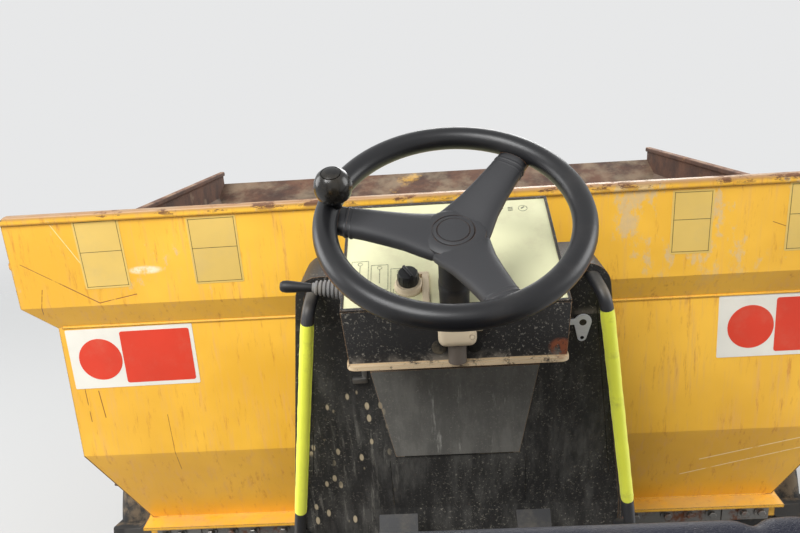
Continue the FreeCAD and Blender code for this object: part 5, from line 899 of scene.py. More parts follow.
class DUMPER_OT_console(bpy.types.Operator):
    """Adds the console's lug, bracket and bolts with painted shade in its slit, folds and lug openings, and
    the column with its gaiter and shroud and two discs of painted shade beside it
    """
    bl_idname = "dumper.console"
    bl_label = "Console details"

    def execute(self, context):
        lug = Shape()
        at = on_face(0.242, 1.622, 0.001)
        big, small, drop = 0.0165, 0.0085, 0.034
        outline = arc(big, -20, 201, 20) + arc(small, 200, 341, 20, (0.0, -drop))
        lug.plate(outline, at, 0.0035, 0.0008)
        lug.block((0.014, 0.012, 0.0035), at @ Matrix.Translation((-0.021, 0.001, 0.0018)), 0.0008)
        lug.done("seal_lug", "rear_chassis", "bare_steel", look="new_zinc")
        # the lug's two openings, drawn as near-black discs of painted shade
        shade_marks = Shape()
        for y, radius in ((0.0, 0.0068), (-drop, 0.0036)):
            shade_marks.turn([(0, 0.0036), (radius, 0.0036), (radius, 0.0038), (0, 0.0038)],
                       at @ Matrix.Translation((0, y, 0)), 24)
        # the slit under the cover and the face's fold lines, drawn as thin near-black strips of painted
        # shade: from x, z to x, z, width
        lines = ((-0.110, SLIT_Z, 0.115, SLIT_Z, 0.0022), (-0.262, 1.66, -0.308, 1.27, 0.0014),
                 (0.266, 1.66, 0.316, 1.25, 0.0014), (-0.142, 1.300, -0.142, 1.175, 0.001),
                 (0.142, 1.300, 0.142, 1.175, 0.001))
        for x0, z0, x1, z1, wide in lines:
            proud = 0.0042 if z0 == SLIT_Z else 0.0003
            start = on_face(x0, z0, proud).translation
            end = on_face(x1, z1, proud).translation
            run = end - start
            shade_marks.block((run.length, wide, 0.0008), stand((start + end) / 2, FACE_OUT, run))
        shade_marks.done("console_shade_lines", "rear_chassis", "grip_plastic", look="recess")
        small_parts = Shape()
        small_parts.block((0.028, 0.012, 0.010), on_face(-0.186, 1.515, 0.005), 0.0015)
        small_parts.block((0.010, 0.030, 0.003), on_face(-0.176, 1.520, 0.0015), 0.0008)
        small_parts.done("console_bracket", "rear_chassis", "bare_steel")
        bolts = Shape()
        bolts.hexagon(Matrix.Identity(4), 0.010, 0.005)
        bolts.again([on_face(side * 0.352, z, 0.0142) for side in (-1, 1) for z in (1.13, 1.06)])
        bolts.done("console_bolts", "rear_chassis", "bare_steel")
        gaiter = Shape()
        column = stand(WHEEL.translation - WHEEL_WAY * 0.082, -WHEEL_WAY)
        profile = [(0.0125, 0.0)]
        for i in range(5):
            profile += [(0.017 + 0.0014 * i, 0.002 + 0.012 * i), (0.0215 + 0.001 * i, 0.007 + 0.012 * i)]
        profile += [(0.0255, 0.066), (0.0255, 0.072), (0.0125, 0.072)]
        gaiter.turn(profile, column, 36)
        gaiter.done("column_gaiter", "rear_chassis", "grip_plastic", crease=70.0)
        shroud = Shape()
        shroud.block((0.062, 0.034, 0.050), stand((0.001, -0.187, 1.698)), 0.012, 4)
        shroud.block((0.018, 0.026, 0.018), stand((0.034, -0.184, 1.706)), 0.004, 3)
        screw = stand((0.024, -0.204, 1.692), -Y)
        shroud.turn([(0, 0), (0.0042, 0), (0.0042, 0.002), (0, 0.0025)], screw, 16)
        shroud.done("column_shroud", "rear_chassis", "console_black", look="worn_beige")
        tube = Shape()
        down = stand(WHEEL.translation - WHEEL_WAY * 0.060, -WHEEL_WAY)
        tube.turn([(0.0, 0.0), (0.012, 0.0), (0.012, 0.026), (0.0245, 0.030), (0.0245, 0.150), (0.022, 0.152),
                   (0.022, 0.175), (0.0, 0.175)], down, 40)
        tube.done("column_shaped", "rear_chassis", "console_black", look="grip_plastic",
                  replaces=("steering_column",))
        lower = Shape()
        lower.turn([(0, 0), (0.015, 0), (0.015, 0.050), (0, 0.050)], stand((0.0, -0.182, 1.640)), 24)
        lower.done("column_foot", "rear_chassis", "console_black", look="worn_brown")
        # two near-black discs on the pod's front: painted shade in the hollows beside the column
        dark = Shape()
        for side in (-1, 1):
            dark.turn([(0, 0), (0.0125, 0), (0.0125, 0.0008), (0.0105, 0.0014), (0, 0.0014)],
                      stand((side * 0.029, -0.1695, 1.661), -Y), 28)
        dark.done("column_recess_shades", "rear_chassis", "grip_plastic", look="recess")
        return {"FINISHED"}


class RailSizes(bpy.types.PropertyGroup):
    tube: FloatProperty(name="Rail radius", description="Outer radius of the hand rails' tube",
                        default=0.0120, unit="LENGTH", min=0.005)
    sleeve: FloatProperty(name="Sleeve radius", description="Outer radius of the coloured sleeve",
                          default=0.0127, unit="LENGTH", min=0.005)
    hi_vis: FloatVectorProperty(name="Sleeve colour", description="Colour of the hand rails' sleeves", size=4,
                                subtype="COLOR", default=HI_VIS, min=0.0, max=1.0)


class DUMPER_OT_sleeves(bpy.types.Operator):
    """Bends both hand rails and slips the yellow-green sleeves over their straight runs"""
    bl_idname = "dumper.sleeves"
    bl_label = "Rails and sleeves"

    def execute(self, context):
        sizes = context.scene.dumper_rails
        radius = sizes.sleeve
        form, rails = Shape(), Shape()
        for side in (-1, 1):
            low = Vector((side * 0.347 + 0.004, 0.010, 1.150))
            high = Vector((side * 0.262 + 0.004, -0.072, 1.694))
            run = high - low
            way = run.normalized()
            foot, end = Vector((side * 0.345, 0.074, 1.105)), Vector((side * 0.246, -0.006, 1.735))
            rails.tube([foot, foot.lerp(low, 0.5), low, low + way * 0.045, high - way * 0.052, high,
                        high.lerp(end, 0.55), end], sizes.tube, sides=6)
            at = stand(low, run, X)
            start, end = 0.076, run.length - 0.022
            rings = []
            count = 36
            for i in range(count + 1):
                along = start + (end - start) * i / count
                # the cloth puckers a little along the rail and is drawn in at its ends
                swell = 0.00025 * math.sin(i * 1.9) + 0.0002 * math.sin(i * 0.73 + side)
                if i in (0, count):
                    swell = -0.0006
                rings.append([at @ Vector((*spot, along)) for spot in circle(radius + swell, 28)])
            form.loft(rings)
            # the lapped seam on the inner side
            seam = math.radians(200 if side > 0 else -20)
            form.tube([at @ Vector((radius * math.cos(seam), radius * math.sin(seam), spot))
                       for spot in (start + 0.004, start + (end - start) / 2, end - 0.004)], 0.0008, sides=1)
        form.done("rail_sleeves", "rear_chassis", "hi_vis", crease=60.0)
        rails.done("hand_rails", "rear_chassis", "console_black", look="hoop_paint",
                   replaces=("handrails",), crease=60.0)
        return {"FINISHED"}


class DUMPER_OT_lever(bpy.types.Operator):
    """Models the direction lever with its ribbed boot"""
    bl_idname = "dumper.lever"
    bl_label = "Direction lever"

    def execute(self, context):
        root = Vector((-0.1883, -0.095, 1.744))
        way = Vector((-1.0, 0.0, 0.10)).normalized()
        boot = Shape()
        profile = [(0.0, 0.0), (0.0205, 0.0), (0.0205, 0.004)]
        for i in range(6):
            wide = 0.0175 - 0.0010 * i
            at = 0.006 + 0.0072 * i
            profile += [(wide - 0.0035, at), (wide, at + 0.0018), (wide, at + 0.0046),
                        (wide - 0.0035, at + 0.0064)]
        profile += [(0.0085, 0.0525), (0.0, 0.0525)]
        boot.turn(profile, stand(root, way, Y), 40)
        boot.done("lever_boot", "rear_chassis", "grip_plastic", look="dusty_rubber",
                  replaces=("hand_controls",), crease=55.0)
        grip = Shape()
        grip.turn([(0.0, 0.05), (0.0068, 0.05), (0.0075, 0.054), (0.0086, 0.068), (0.0102, 0.086),
                   (0.0108, 0.097), (0.0098, 0.104), (0.0068, 0.108), (0.0, 0.109)], stand(root, way, Y), 32)
        grip.done("lever_grip", "rear_chassis", "grip_plastic", crease=55.0)
        return {"FINISHED"}


# The skip's rear wall
BAND = stand((0.0, 0.255, 0.0), -Y, X)
WALL_LOW = Vector((0.0, 0.268, 1.207))
WALL_UP = Vector((0.0, 0.018, 0.338)).normalized()
WALL_OUT = Vector((0, -WALL_UP.z, WALL_UP.y))


def on_band(x, z):
    return BAND @ Matrix.Translation((x, z, 0.0))


def on_wall(x, z):
    spot = WALL_LOW + WALL_UP * ((z - WALL_LOW.z) / WALL_UP.z)
    return stand(spot + X * x, WALL_OUT, X)


class SignSizes(bpy.types.PropertyGroup):
    width: FloatProperty(name="Sign width", description="Width of the blank red and white signs",
                         default=0.303, unit="LENGTH", min=0.05)
    height: FloatProperty(name="Sign height", description="Height of those signs", default=0.150,
                          unit="LENGTH", min=0.03)


class DUMPER_OT_signs(bpy.types.Operator):
    """Lays the blank stickers on the band and the blank signs on the wall below it"""
    bl_idname = "dumper.signs"
    bl_label = "Blank stickers and signs"

    def execute(self, context):
        sizes = context.scene.dumper_signs
        stickers, lines = Shape(), Shape()
        # middle x, middle z, half width, half height, turn in degrees
        for x, z, wide, high, turn in ((-0.763, 1.728, 0.052, 0.080, 1.0), (-0.508, 1.724, 0.055, 0.077, 0.5),
                                       (0.528, 1.729, 0.044, 0.071, -0.4), (0.776, 1.729, 0.048, 0.076, 0.3)):
            at = on_band(x, z) @ Matrix.Rotation(math.radians(turn), 4, "Z")
            stickers.plate(round_corners(wide, high, 0.004), at, 0.0007)
            at = at @ Matrix.Translation((0, 0, 0.0007))
            # three lines across and two upright, by their distance from the middle
            for dy in (high - 0.005, 0.005 - high, 0.006):
                lines.block((wide * 2 - 0.008, 0.0012, 0.0004), at @ Matrix.Translation((0, dy, 0)))
            for dx in (wide - 0.005, 0.005 - wide):
                lines.block((0.0012, high * 2 - 0.008, 0.0004), at @ Matrix.Translation((dx, 0, 0)))
        stickers.done("band_stickers", "skip", "skip_paint", look="decal_yellow")
        lines.done("sticker_lines", "skip", "skip_paint", look="ink")
        plates, reds = Shape(), Shape()
        wide, high = sizes.width / 2, sizes.height / 2
        for x, z, turn in ((-0.750, 1.464, 0.6), (0.764, 1.468, 0.2)):
            at = on_wall(x, z) @ Matrix.Rotation(math.radians(turn), 4, "Z")
            plates.plate(round_corners(wide, high, 0.003), at, 0.0010)
            top = at @ Matrix.Translation((0, 0, 0.0010))
            panel = round_corners(0.083, high - 0.010, 0.006)
            reds.plate(circle(0.052, 48), top @ Matrix.Translation((-0.078, -0.002, 0)), 0.0004)
            reds.plate(panel, top @ Matrix.Translation((0.060, 0, 0)), 0.0004)
        plates.done("wall_signs", "skip", "skip_paint", look="sign_white")
        reds.done("sign_shapes", "skip", "skip_paint", look="sign_red")
        return {"FINISHED"}


class DUMPER_OT_skip_details(bpy.types.Operator):
    """Bolts the flaps' clamp strips, runs the skip's weld beads and caps its tip pins"""
    bl_idname = "dumper.skip_details"
    bl_label = "Skip details"

    def execute(self, context):
        bolts = Shape()
        bolts.hexagon(Matrix.Identity(4), 0.017, 0.009)
        strip_y = 0.332 - 0.016 - 0.008
        bolts.again([stand((side * x, strip_y, 0.938), -Y, X)
                     for side in (-1, 1) for x in (0.375, 0.455, 0.535, 0.592, 0.647, 0.728, 0.770)])
        bolts.done("strip_bolts", "skip", "bare_steel")
        joints = Shape()
        for side in (-1, 1):
            joints.block((0.0022, 0.0012, 0.046), stand((side * 0.672, strip_y - 0.0004, 0.939)))
        joints.done("strip_joints", "skip", "bare_steel", look="recess")
        beads = Shape()
        # the weld along the ledge's foot and the bend, then round the bearers and lugs
        for z, y in ((1.545, 0.2855), (0.974, 0.3325)):
            half = 0.905 if z > 1.2 else 0.79
            beads.tube([(x, y - 0.0005, z) for x in (-half, -half / 3, half / 3, half)], 0.0032, sides=2)
        for side in (-1, 1):
            for out in (0.285, 0.345):
                beads.tube([(side * out, y, z) for y, z in ((0.47, 1.003), (0.8, 1.078), (1.09, 1.1445))],
                           0.004, order=2, sides=2)
            beads.tube([(side * 0.914, 0.2700, 1.208), (side * 0.8035, 0.3335, 0.976)], 0.0028,
                       order=2, sides=2)
        beads.done("weld_beads", "skip", "skip_paint")
        pins = Shape()
        for side in (-1, 1):
            at = stand((side * 0.3965, 1.64, 0.9), X * side, Y)
            pins.turn([(0, 0), (0.046, 0), (0.046, 0.006), (0.040, 0.009), (0, 0.009)], at, 40)
            for bolt in around(at, 3, 0.028, 0.009):
                pins.hexagon(bolt, 0.013, 0.007)
        pins.done("tip_pin_caps", "front_chassis", "bare_steel")
        return {"FINISHED"}


class TyreSizes(bpy.types.PropertyGroup):
    lugs: IntProperty(name="Lugs a side", description="Lugs on each side of a tyre", default=18, min=8,
                      max=40)
    lean: FloatProperty(name="Lug lean", description="How far a lug turns from straight across",
                        default=math.radians(38.0), subtype="ANGLE")


def wheel_places():
    """The name, side and middle of each wheel."""
    for end, y in (("front", AXLES_Y + AXLE_REACH), ("rear", AXLES_Y - AXLE_REACH)):
        for name, side in (("left", -1), ("right", 1)):
            yield f"{end}_{name}", side, Vector((side * WHEEL_OUT, y, TYRE_RADIUS))


class DUMPER_OT_tyres(bpy.types.Operator):
    """Models the four tyres with their cleated tread and ringed sidewalls"""
    bl_idname = "dumper.tyres"
    bl_label = "Tyres"

    def execute(self, context):
        sizes = context.scene.dumper_tyres
        whole = Shape()
        half = [(0.2640, 0.1440), (0.2925, 0.1440), (0.2990, 0.1500), (0.3040, 0.1640), (0.3120, 0.1700),
                (0.3180, 0.1700), (0.3260, 0.1790), (0.3450, 0.1900), (0.3600, 0.1945), (0.3640, 0.1975),
                (0.3680, 0.1960), (0.3900, 0.1988), (0.4180, 0.1992), (0.4210, 0.2000), (0.4300, 0.2000),
                (0.4330, 0.1985), (0.4500, 0.1960), (0.4680, 0.1900), (0.4840, 0.1800), (0.4960, 0.1690),
                (0.5030, 0.1550), (0.5055, 0.1300), (0.5060, 0.0700), (0.5062, 0.0)]
        profile = half + [(r, -h) for r, h in reversed(half[:-1])]
        whole.turn(profile, stand((0, 0, 0), X, Y), 108, closed=True)
        lean = math.tan(sizes.lean) / TYRE_RADIUS
        lug = Shape()
        # across, top radius, root radius, half width at the top, half width at the root
        rows = ((-0.006, 0.540, 0.496, 0.027, 0.036), (0.050, 0.540, 0.496, 0.027, 0.036),
                (0.104, 0.540, 0.494, 0.028, 0.037), (0.150, 0.5385, 0.484, 0.029, 0.038),
                (0.180, 0.5330, 0.468, 0.029, 0.038), (0.194, 0.5260, 0.450, 0.028, 0.036),
                (0.1985, 0.4900, 0.440, 0.024, 0.030))
        rings = []
        for across, top, low, wide, root in rows:
            middle = lean * min(across, 0.104)
            ring = []
            for radius, spread in ((low, -root), (top - 0.004, -wide - 0.001), (top, -wide + 0.003),
                                   (top, 0.0), (top, wide - 0.003), (top - 0.004, wide + 0.001), (low, root)):
                a = middle + spread / TYRE_RADIUS
                ring.append(Vector((across, radius * math.cos(a), radius * math.sin(a))))
            rings.append(ring)
        lug.loft(rings)
        start = -math.pi / 2 + 0.056 / 2 / TYRE_RADIUS + lean * 0.006
        step = math.tau / sizes.lugs
        lug.again([Matrix.Diagonal((side, 1, 1, 1)) @ Matrix.Rotation(start + (i + shift) * step, 4, "X")
                   for side, shift in ((1, 0.0), (-1, 0.5)) for i in range(sizes.lugs)])
        mesh = bpy.data.meshes.new("lugs")
        bmesh.ops.recalc_face_normals(lug.bm, faces=lug.bm.faces)
        lug.bm.to_mesh(mesh)
        whole.bm.from_mesh(mesh)
        lug.bm.free()
        bpy.data.meshes.remove(mesh)
        pattern = bpy.data.meshes.new("tyre_pattern")
        whole.bm.to_mesh(pattern)
        whole.bm.free()
        for name, side, middle in wheel_places():
            tyre = Shape()
            tyre.bm.from_mesh(pattern)
            place = Matrix.Translation(middle) @ Matrix.Diagonal((side, 1, 1, 1))
            bmesh.ops.transform(tyre.bm, matrix=place, verts=tyre.bm.verts)
            tyre.done("tread_" + name, "wheel_" + name, "tyre_rubber", replaces=("tyre_" + name,),
                      crease=42.0)
        bpy.data.meshes.remove(pattern)
        return {"FINISHED"}


class DUMPER_OT_wheel_details(bpy.types.Operator):
    """Adds the wheel nuts, the hub's bolts and plug, and the valve to each rim"""
    bl_idname = "dumper.wheel_details"
    bl_label = "Wheel nuts and hubs"

    def execute(self, context):
        for name, side, middle in wheel_places():
            steel = Shape()
            steel.hexagon(Matrix.Identity(4), 0.027, 0.019)
            steel.turn([(0, 0.02), (0.0085, 0.02), (0.0085, 0.034), (0.007, 0.036), (0, 0.036)],
                       Matrix.Identity(4), 14)
            disc = middle + X * side * 0.016
            steel.again([stand(disc + Vector((0, *spot)), X * side, Y) for spot in circle(0.1325, 10)])
            steel.done("nuts_" + name, "wheel_" + name, "bare_steel")
            hub = Shape()
            hub.hexagon(Matrix.Identity(4), 0.016, 0.008)
            face = middle + X * side * 0.0252
            hub.again([stand(face + Vector((0, *spot)), X * side, Y)
                       for spot in circle(0.082, 16)[1::2]])
            hub.turn([(0, 0), (0.030, 0), (0.030, 0.004), (0.026, 0.007), (0, 0.007)],
                     stand(face, X * side, Y), 32)
            hub.hexagon(stand(face + X * side * 0.007, X * side, Y), 0.020, 0.008)
            hub.done("hub_bolts_" + name, "wheel_" + name, "chassis_paint")
            valve = Shape()
            foot = middle + Vector((side * 0.146, 0.0, 0.236))
            valve.turn([(0, 0), (0.007, 0), (0.006, 0.006), (0.0042, 0.012), (0.0042, 0.030), (0.0052, 0.031),
                        (0.0052, 0.040), (0, 0.041)], stand(foot - X * side * 0.03, X * side, Y), 16)
            valve.done("valve_" + name, "wheel_" + name, "tyre_rubber", look="hose_rubber")
        return {"FINISHED"}


class SeatSizes(bpy.types.PropertyGroup):
    swell: FloatProperty(name="Swell", description="How far a point of the padding may move as it fills",
                         default=0.022, unit="LENGTH", min=0.0, max=0.04)
    groove: FloatProperty(name="Channel depth", description="Depth of the sewn channels", default=0.005,
                          unit="LENGTH", min=0.0, max=0.02)


class DUMPER_OT_seat(bpy.types.Operator):
    """Stuffs the seat's cushion and backrest, sews their channels and pipes their edges"""
    bl_idname = "dumper.seat"
    bl_label = "Seat"

    def execute(self, context):
        sizes = context.scene.dumper_seat
        cushion = Shape()
        middle = stand((0.0, -0.700, 1.3308), Z)
        top = cushion.plate(round_corners(0.228, 0.218, 0.055, 6), middle, 0.128)
        self.soften(cushion, top, 0.040)
        self.pad(cushion, "cushion_shaped", "seat_cushion", middle, sizes,
                 channels=[("X", -0.150), ("X", 0.150), ("Y", 0.085), ("Y", -0.085)],
                 piping=0.050, back=0.006, limit=0.152)
        back = Shape()
        lean = Vector((0.0, -0.070, 0.396)).normalized()
        front = Vector((0.0, -lean.z, lean.y)) * -1.0
        middle = stand(Vector((0.0, -0.979, 1.688)), front, X)
        top_edge = arc(0.178, 10, 171, 16, (0.0, 0.190), 0.050)
        outline = [(0.217, 0.090), (0.213, 0.140), (0.200, 0.168)] + top_edge
        outline += [(-0.200, 0.168), (-0.213, 0.140), (-0.217, 0.090), (-0.217, -0.140), (-0.205, -0.172),
                    (-0.170, -0.184), (0.170, -0.184), (0.205, -0.172), (0.217, -0.140)]
        top = back.plate(outline, middle, 0.118)
        self.soften(back, top, 0.012)
        self.pad(back, "backrest_shaped", "seat_backrest", middle, sizes,
                 channels=[("X", -0.140), ("X", 0.140), ("Y", 0.070), ("Y", -0.060)],
                 piping=0.034, back=0.006, limit=0.126)
        return {"FINISHED"}

    @staticmethod
    def soften(form, top, radius):
        rims = {e for v in top for e in v.link_edges if all(end in top for end in e.verts)}
        form.round_off(rims, radius, 5)

    @staticmethod
    def pad(form, name, node, middle, sizes, channels, piping, back, limit):
        """Fills a soft block, held below back, no prouder than limit, with its piping at that height."""
        scene = bpy.context.scene
        piece = form.done(name, "rear_chassis", "seat_vinyl", replaces=(node,), crease=180.0)
        inward = middle.inverted()
        remesh = piece.modifiers.new("even", "REMESH")
        remesh.mode = "VOXEL"
        remesh.voxel_size = 0.006
        DUMPER_OT_seat.settle(piece)
        start = [v.co.copy() for v in piece.data.vertices]
        held = piece.vertex_groups.new(name="held")
        held.add([i for i, spot in enumerate(start) if (inward @ spot).z < back], 1.0, "REPLACE")
        cloth = piece.modifiers.new("swell", "CLOTH")
        cloth.settings.quality = 6
        cloth.settings.use_pressure = True
        cloth.settings.uniform_pressure_force = 4.0
        cloth.settings.tension_stiffness = 18.0
        cloth.settings.compression_stiffness = 18.0
        cloth.settings.bending_stiffness = 0.5
        cloth.settings.effector_weights.gravity = 0.0
        cloth.settings.vertex_group_mass = "held"
        cloth.point_cache.frame_start = 1
        cloth.point_cache.frame_end = 20
        for moment in range(1, 21):
            scene.frame_set(moment)
        DUMPER_OT_seat.settle(piece)
        scene.frame_set(1)
        for vertex, before in zip(piece.data.vertices, start):
            # the stuffing holds the cover out: it swells freely and hardly sinks
            moved = vertex.co - before
            room = sizes.swell if moved.dot(vertex.normal) > 0 else 0.003
            if moved.length > room:
                vertex.co = before + moved.normalized() * room
        smooth = piece.modifiers.new("smooth", "SUBSURF")
        smooth.levels = smooth.render_levels = 1
        DUMPER_OT_seat.settle(piece)
        mesh = piece.data
        for vertex in mesh.vertices:
            spot = inward @ vertex.co
            if spot.z > back + 0.02:
                near = min(abs((spot.x if axis == "X" else spot.y) - at) for axis, at in channels)
                across = [at for axis, at in channels if axis == "X"]
                inside = min(across) < spot.x < max(across) or abs(abs(spot.x) - max(across)) < 0.012
                if inside:
                    spot.z -= sizes.groove * math.exp(-(near / 0.0065) ** 2)
            spot.z = max(0.0, min(spot.z, limit))
            vertex.co = middle @ spot
        mesh.shade_smooth()
        # a bead of piping all round, on the padding's own side
        from_space = [inward @ v.co for v in mesh.vertices if abs((inward @ v.co).z - piping) < 0.008]
        ring = []
        for x, y in circle(1.0, 72):
            best = max(from_space, key=lambda v: v.x * x + v.y * y - abs(v.x * y - v.y * x) * 2.2)
            ring.append(middle @ Vector((best.x - x * 0.002, best.y - y * 0.002, piping)))
        welt = Shape()
        welt.tube(ring, 0.0038, sides=2, closed=True)
        welt.done(name + "_piping", "rear_chassis", "seat_vinyl", look="piping", crease=70.0)

    @staticmethod
    def settle(piece):
        """Puts what the modifiers make of a piece into its mesh, and takes the modifiers off."""
        graph = bpy.context.evaluated_depsgraph_get()
        made = bpy.data.meshes.new_from_object(piece.evaluated_get(graph))
        before = piece.data
        piece.modifiers.clear()
        piece.data = made
        made.name = piece.name
        bpy.data.meshes.remove(before)
        if not made.materials:
            made.materials.append(finish_of("seat_vinyl"))


class DUMPER_OT_seat_fittings(bpy.types.Operator):
    """Adds the belt's buckle and reel, the seat's slides and its lever"""
    bl_idname = "dumper.seat_fittings"
    bl_label = "Seat fittings"

    def execute(self, context):
        steel, black = Shape(), Shape()
        for side in (-1, 1):
            steel.block((0.010, 0.036, 0.070), stand((side * 0.237, -0.860, 1.300)), 0.003)
            for y in (-0.60, -0.86):
                steel.hexagon(stand((side * 0.231, y, 1.307), X * side, Y), 0.017, 0.008)
        steel.block((0.006, 0.022, 0.110), stand((0.252, -0.860, 1.360)), 0.002)
        steel.tube([(0.150, -0.498, 1.284), (0.150, -0.470, 1.280), (0.185, -0.452, 1.282),
                    (0.215, -0.450, 1.290)], 0.006, sides=2)
        steel.done("seat_steel", "rear_chassis", "bare_steel")
        black.block((0.020, 0.034, 0.062), stand((0.254, -0.860, 1.440)), 0.005, 3)
        black.block((0.052, 0.060, 0.070), stand((-0.262, -0.880, 1.306)), 0.010, 3)
        black.turn([(0, 0), (0.026, 0), (0.026, 0.010), (0.022, 0.013), (0, 0.013)],
                   stand((-0.288, -0.880, 1.306), -X, Y), 28)
        black.done("belt_housings", "rear_chassis", "console_black", look="grip_plastic")
        red = Shape()
        red.block((0.013, 0.014, 0.003), stand((0.254, -0.852, 1.4715)), 0.001)
        red.done("buckle_button", "rear_chassis", "lamp_red", look="sign_red")
        return {"FINISHED"}


class DUMPER_OT_beacon(bpy.types.Operator):
    """Models the amber beacon with its ribbed dome and foot, and the three tail-lamp lenses a side"""
    bl_idname = "dumper.beacon"
    bl_label = "Beacon and lamps"

    def execute(self, context):
        spot = stand((-0.33, -1.01, 2.8003))
        foot = Shape()
        foot.turn([(0, 0), (0.034, 0), (0.034, 0.018), (0.040, 0.020), (0.060, 0.021), (0.062, 0.024),
                   (0.062, 0.042), (0.0605, 0.045), (0.056, 0.0465), (0, 0.0465)], spot, 64)
        for at in around(spot, 24, 0.0610, 0.033):
            foot.block((0.0016, 0.006, 0.016), at, 0.0005)
        foot.done("beacon_foot", "rops_upper", "console_black", look="grip_plastic")
        dome = Shape()
        profile = [(0.0, 0.0468), (0.0572, 0.0468), (0.0578, 0.049)]
        for k in range(16):
            share = k / 15
            radius = 0.0570 - 0.0072 * share
            profile += [(radius, 0.050 + 0.0050 * k), (radius - 0.0010, 0.0525 + 0.0050 * k)]
        profile += [(0.0495, 0.1310), (0.0455, 0.1380), (0.0360, 0.1445), (0.0210, 0.1490), (0.0, 0.1500)]
        dome.turn(profile, spot, 72)
        dome.done("beacon_dome", "rops_upper", "beacon_amber", replaces=("beacon",), crease=60.0)
        housings, reds, ambers, clears = Shape(), Shape(), Shape(), Shape()
        for side in (-1, 1):
            middle = Vector((side * 0.385, -2.0602, 0.840))
            at = stand(middle, -Y, X)
            housings.plate(round_corners(0.081, 0.036, 0.008), at, 0.0040, 0.0012, 2)
            for form, shift, wide in ((reds, -side * 0.047, 0.026), (ambers, side * 0.052, 0.020),
                                      (clears, side * 0.008, 0.020)):
                lens_at = at @ Matrix.Translation((shift, 0, 0.0035))
                form.plate(round_corners(wide, 0.029, 0.005), lens_at, 0.0040, 0.0014, 2)
        housings.done("lamp_housings", "rear_chassis", "lamp_red", look="grip_plastic",
                      replaces=("tail_lamps",))
        reds.done("lens_red", "rear_chassis", "lamp_red")
        ambers.done("lens_amber", "rear_chassis", "beacon_amber")
        clears.done("lens_clear", "rear_chassis", "lamp_red", look="lens_clear")
        return {"FINISHED"}


# the exhaust stack's axis
EXHAUST = (0.606, -1.112)


class DUMPER_OT_hoop(bpy.types.Operator):
    """Pins and bolts the roll hoop and clamps the exhaust beside it"""
    bl_idname = "dumper.hoop"
    bl_label = "Roll hoop fittings"

    def execute(self, context):
        steel = Shape()
        for side in (-1, 1):
            for out in (-1, 1):
                at = stand((side * 0.575 + out * 0.0565, -1.01, 1.9), X * out, Y)
                steel.hexagon(at, 0.030, 0.012)
            # a locking pin with its ring below the hinge
            at = stand((side * 0.575 - side * 0.053, -1.01, 1.80), X * -side, Y)
            steel.turn([(0, 0), (0.011, 0), (0.011, 0.012), (0.009, 0.014), (0, 0.014)], at, 20)
            steel.tube([at @ Vector((x, 0.0, z)) for x, z in circle(0.016, 12, (0.0, 0.012))], 0.0018,
                       sides=1, closed=True)
            for y in (-1.05, -0.97):
                for x in (0.519, 0.631):
                    steel.hexagon(stand((side * x, y, 1.1562)), 0.018, 0.010)
        steel.done("hoop_bolts", "rear_chassis", "bare_steel")
        clamp = Shape()
        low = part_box("exhaust")[0][2]
        for z in (low + 0.050, 1.505, 1.530):
            clamp.turn([(0.0302, 0), (0.0330, 0), (0.0330, 0.012), (0.0302, 0.012)],
                       stand((*EXHAUST, z)), 40, closed=True)
            clamp.block((0.010, 0.016, 0.012), stand((EXHAUST[0], EXHAUST[1] - 0.036, z + 0.006)), 0.002)
        clamp.done("exhaust_clamps", "rear_chassis", "bare_steel")
        shield = Shape()
        ring = arc(0.0400, -160, -19, 10, EXHAUST) + arc(0.0385, -20, -161, -10, EXHAUST)
        shield.loft([[Vector((*spot, z)) for spot in ring] for z in (1.24, 1.46)])
        shield.done("exhaust_guard", "rear_chassis", "bare_steel", look="zinc")
        return {"FINISHED"}


class DUMPER_OT_fixings(bpy.types.Operator):
    """Bolts the bumper, straps the tanks and adds the pedals' ribs and the bonnet's catches"""
    bl_idname = "dumper.fixings"
    bl_label = "Fixings"

    def execute(self, context):
        steel = Shape()
        steel.hexagon(Matrix.Identity(4), 0.036, 0.018)
        steel.again([stand((side * x, -2.0602, z), -Y, X) for side in (-1, 1) for x in (0.24, 0.50)
                     for z in (0.56, 0.98)])
        steel.done("bumper_bolts", "rear_chassis", "bare_steel")
        ribs = Shape()
        up = Vector((0.0, 0.707, 0.707))
        out = Vector((0.0, -0.707, 0.707))
        for x, half in ((0.15, 0.035), (-0.13, 0.040)):
            foot = Vector((x, -0.060, 1.120))
            for k in range(7):
                spot = foot + up * (0.010 + 0.0143 * k) + out * 0.0014
                ribs.block((half * 1.9, 0.0055, 0.0036), stand(spot, out, X), 0.0008)
        ribs.done("pedal_ribs", "rear_chassis", "pedal_steel", look="grip_plastic")
        caps = Shape()
        for side in (-1, 1):
            low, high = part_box("fuel_tank" if side < 0 else "oil_tank")
            out_x = high[0] if side > 0 else low[0]
            for y in (-0.560, -0.240):
                caps.block((0.0030, 0.036, 0.400), stand((out_x + side * 0.0012, y, 0.755)), 0.001)
                caps.hexagon(stand((out_x + side * 0.0025, y, 0.930), X * side, Y), 0.014, 0.007)
        caps.done("tank_straps", "rear_chassis", "bare_steel")
        catches, pads = Shape(), Shape()
        for side in (-1, 1):
            away = Vector((0.42 * side, 0, 0.060)).normalized()
            spot = Vector((side * 0.5535, -1.20, 1.185))
            at = stand(spot, away, Y)
            catches.block((0.034, 0.046, 0.004), at, 0.0012)
            pads.block((0.022, 0.060, 0.010), at @ Matrix.Translation((0, -0.004, 0.007)), 0.003, 3)
            pads.block((0.040, 0.012, 0.014), at @ Matrix.Translation((0, 0.022 * -side, 0.009)), 0.004, 3)
        catches.done("catch_plates", "bonnet", "bare_steel")
        pads.done("bonnet_catches", "bonnet", "bonnet_paint", look="hose_rubber")
        return {"FINISHED"}


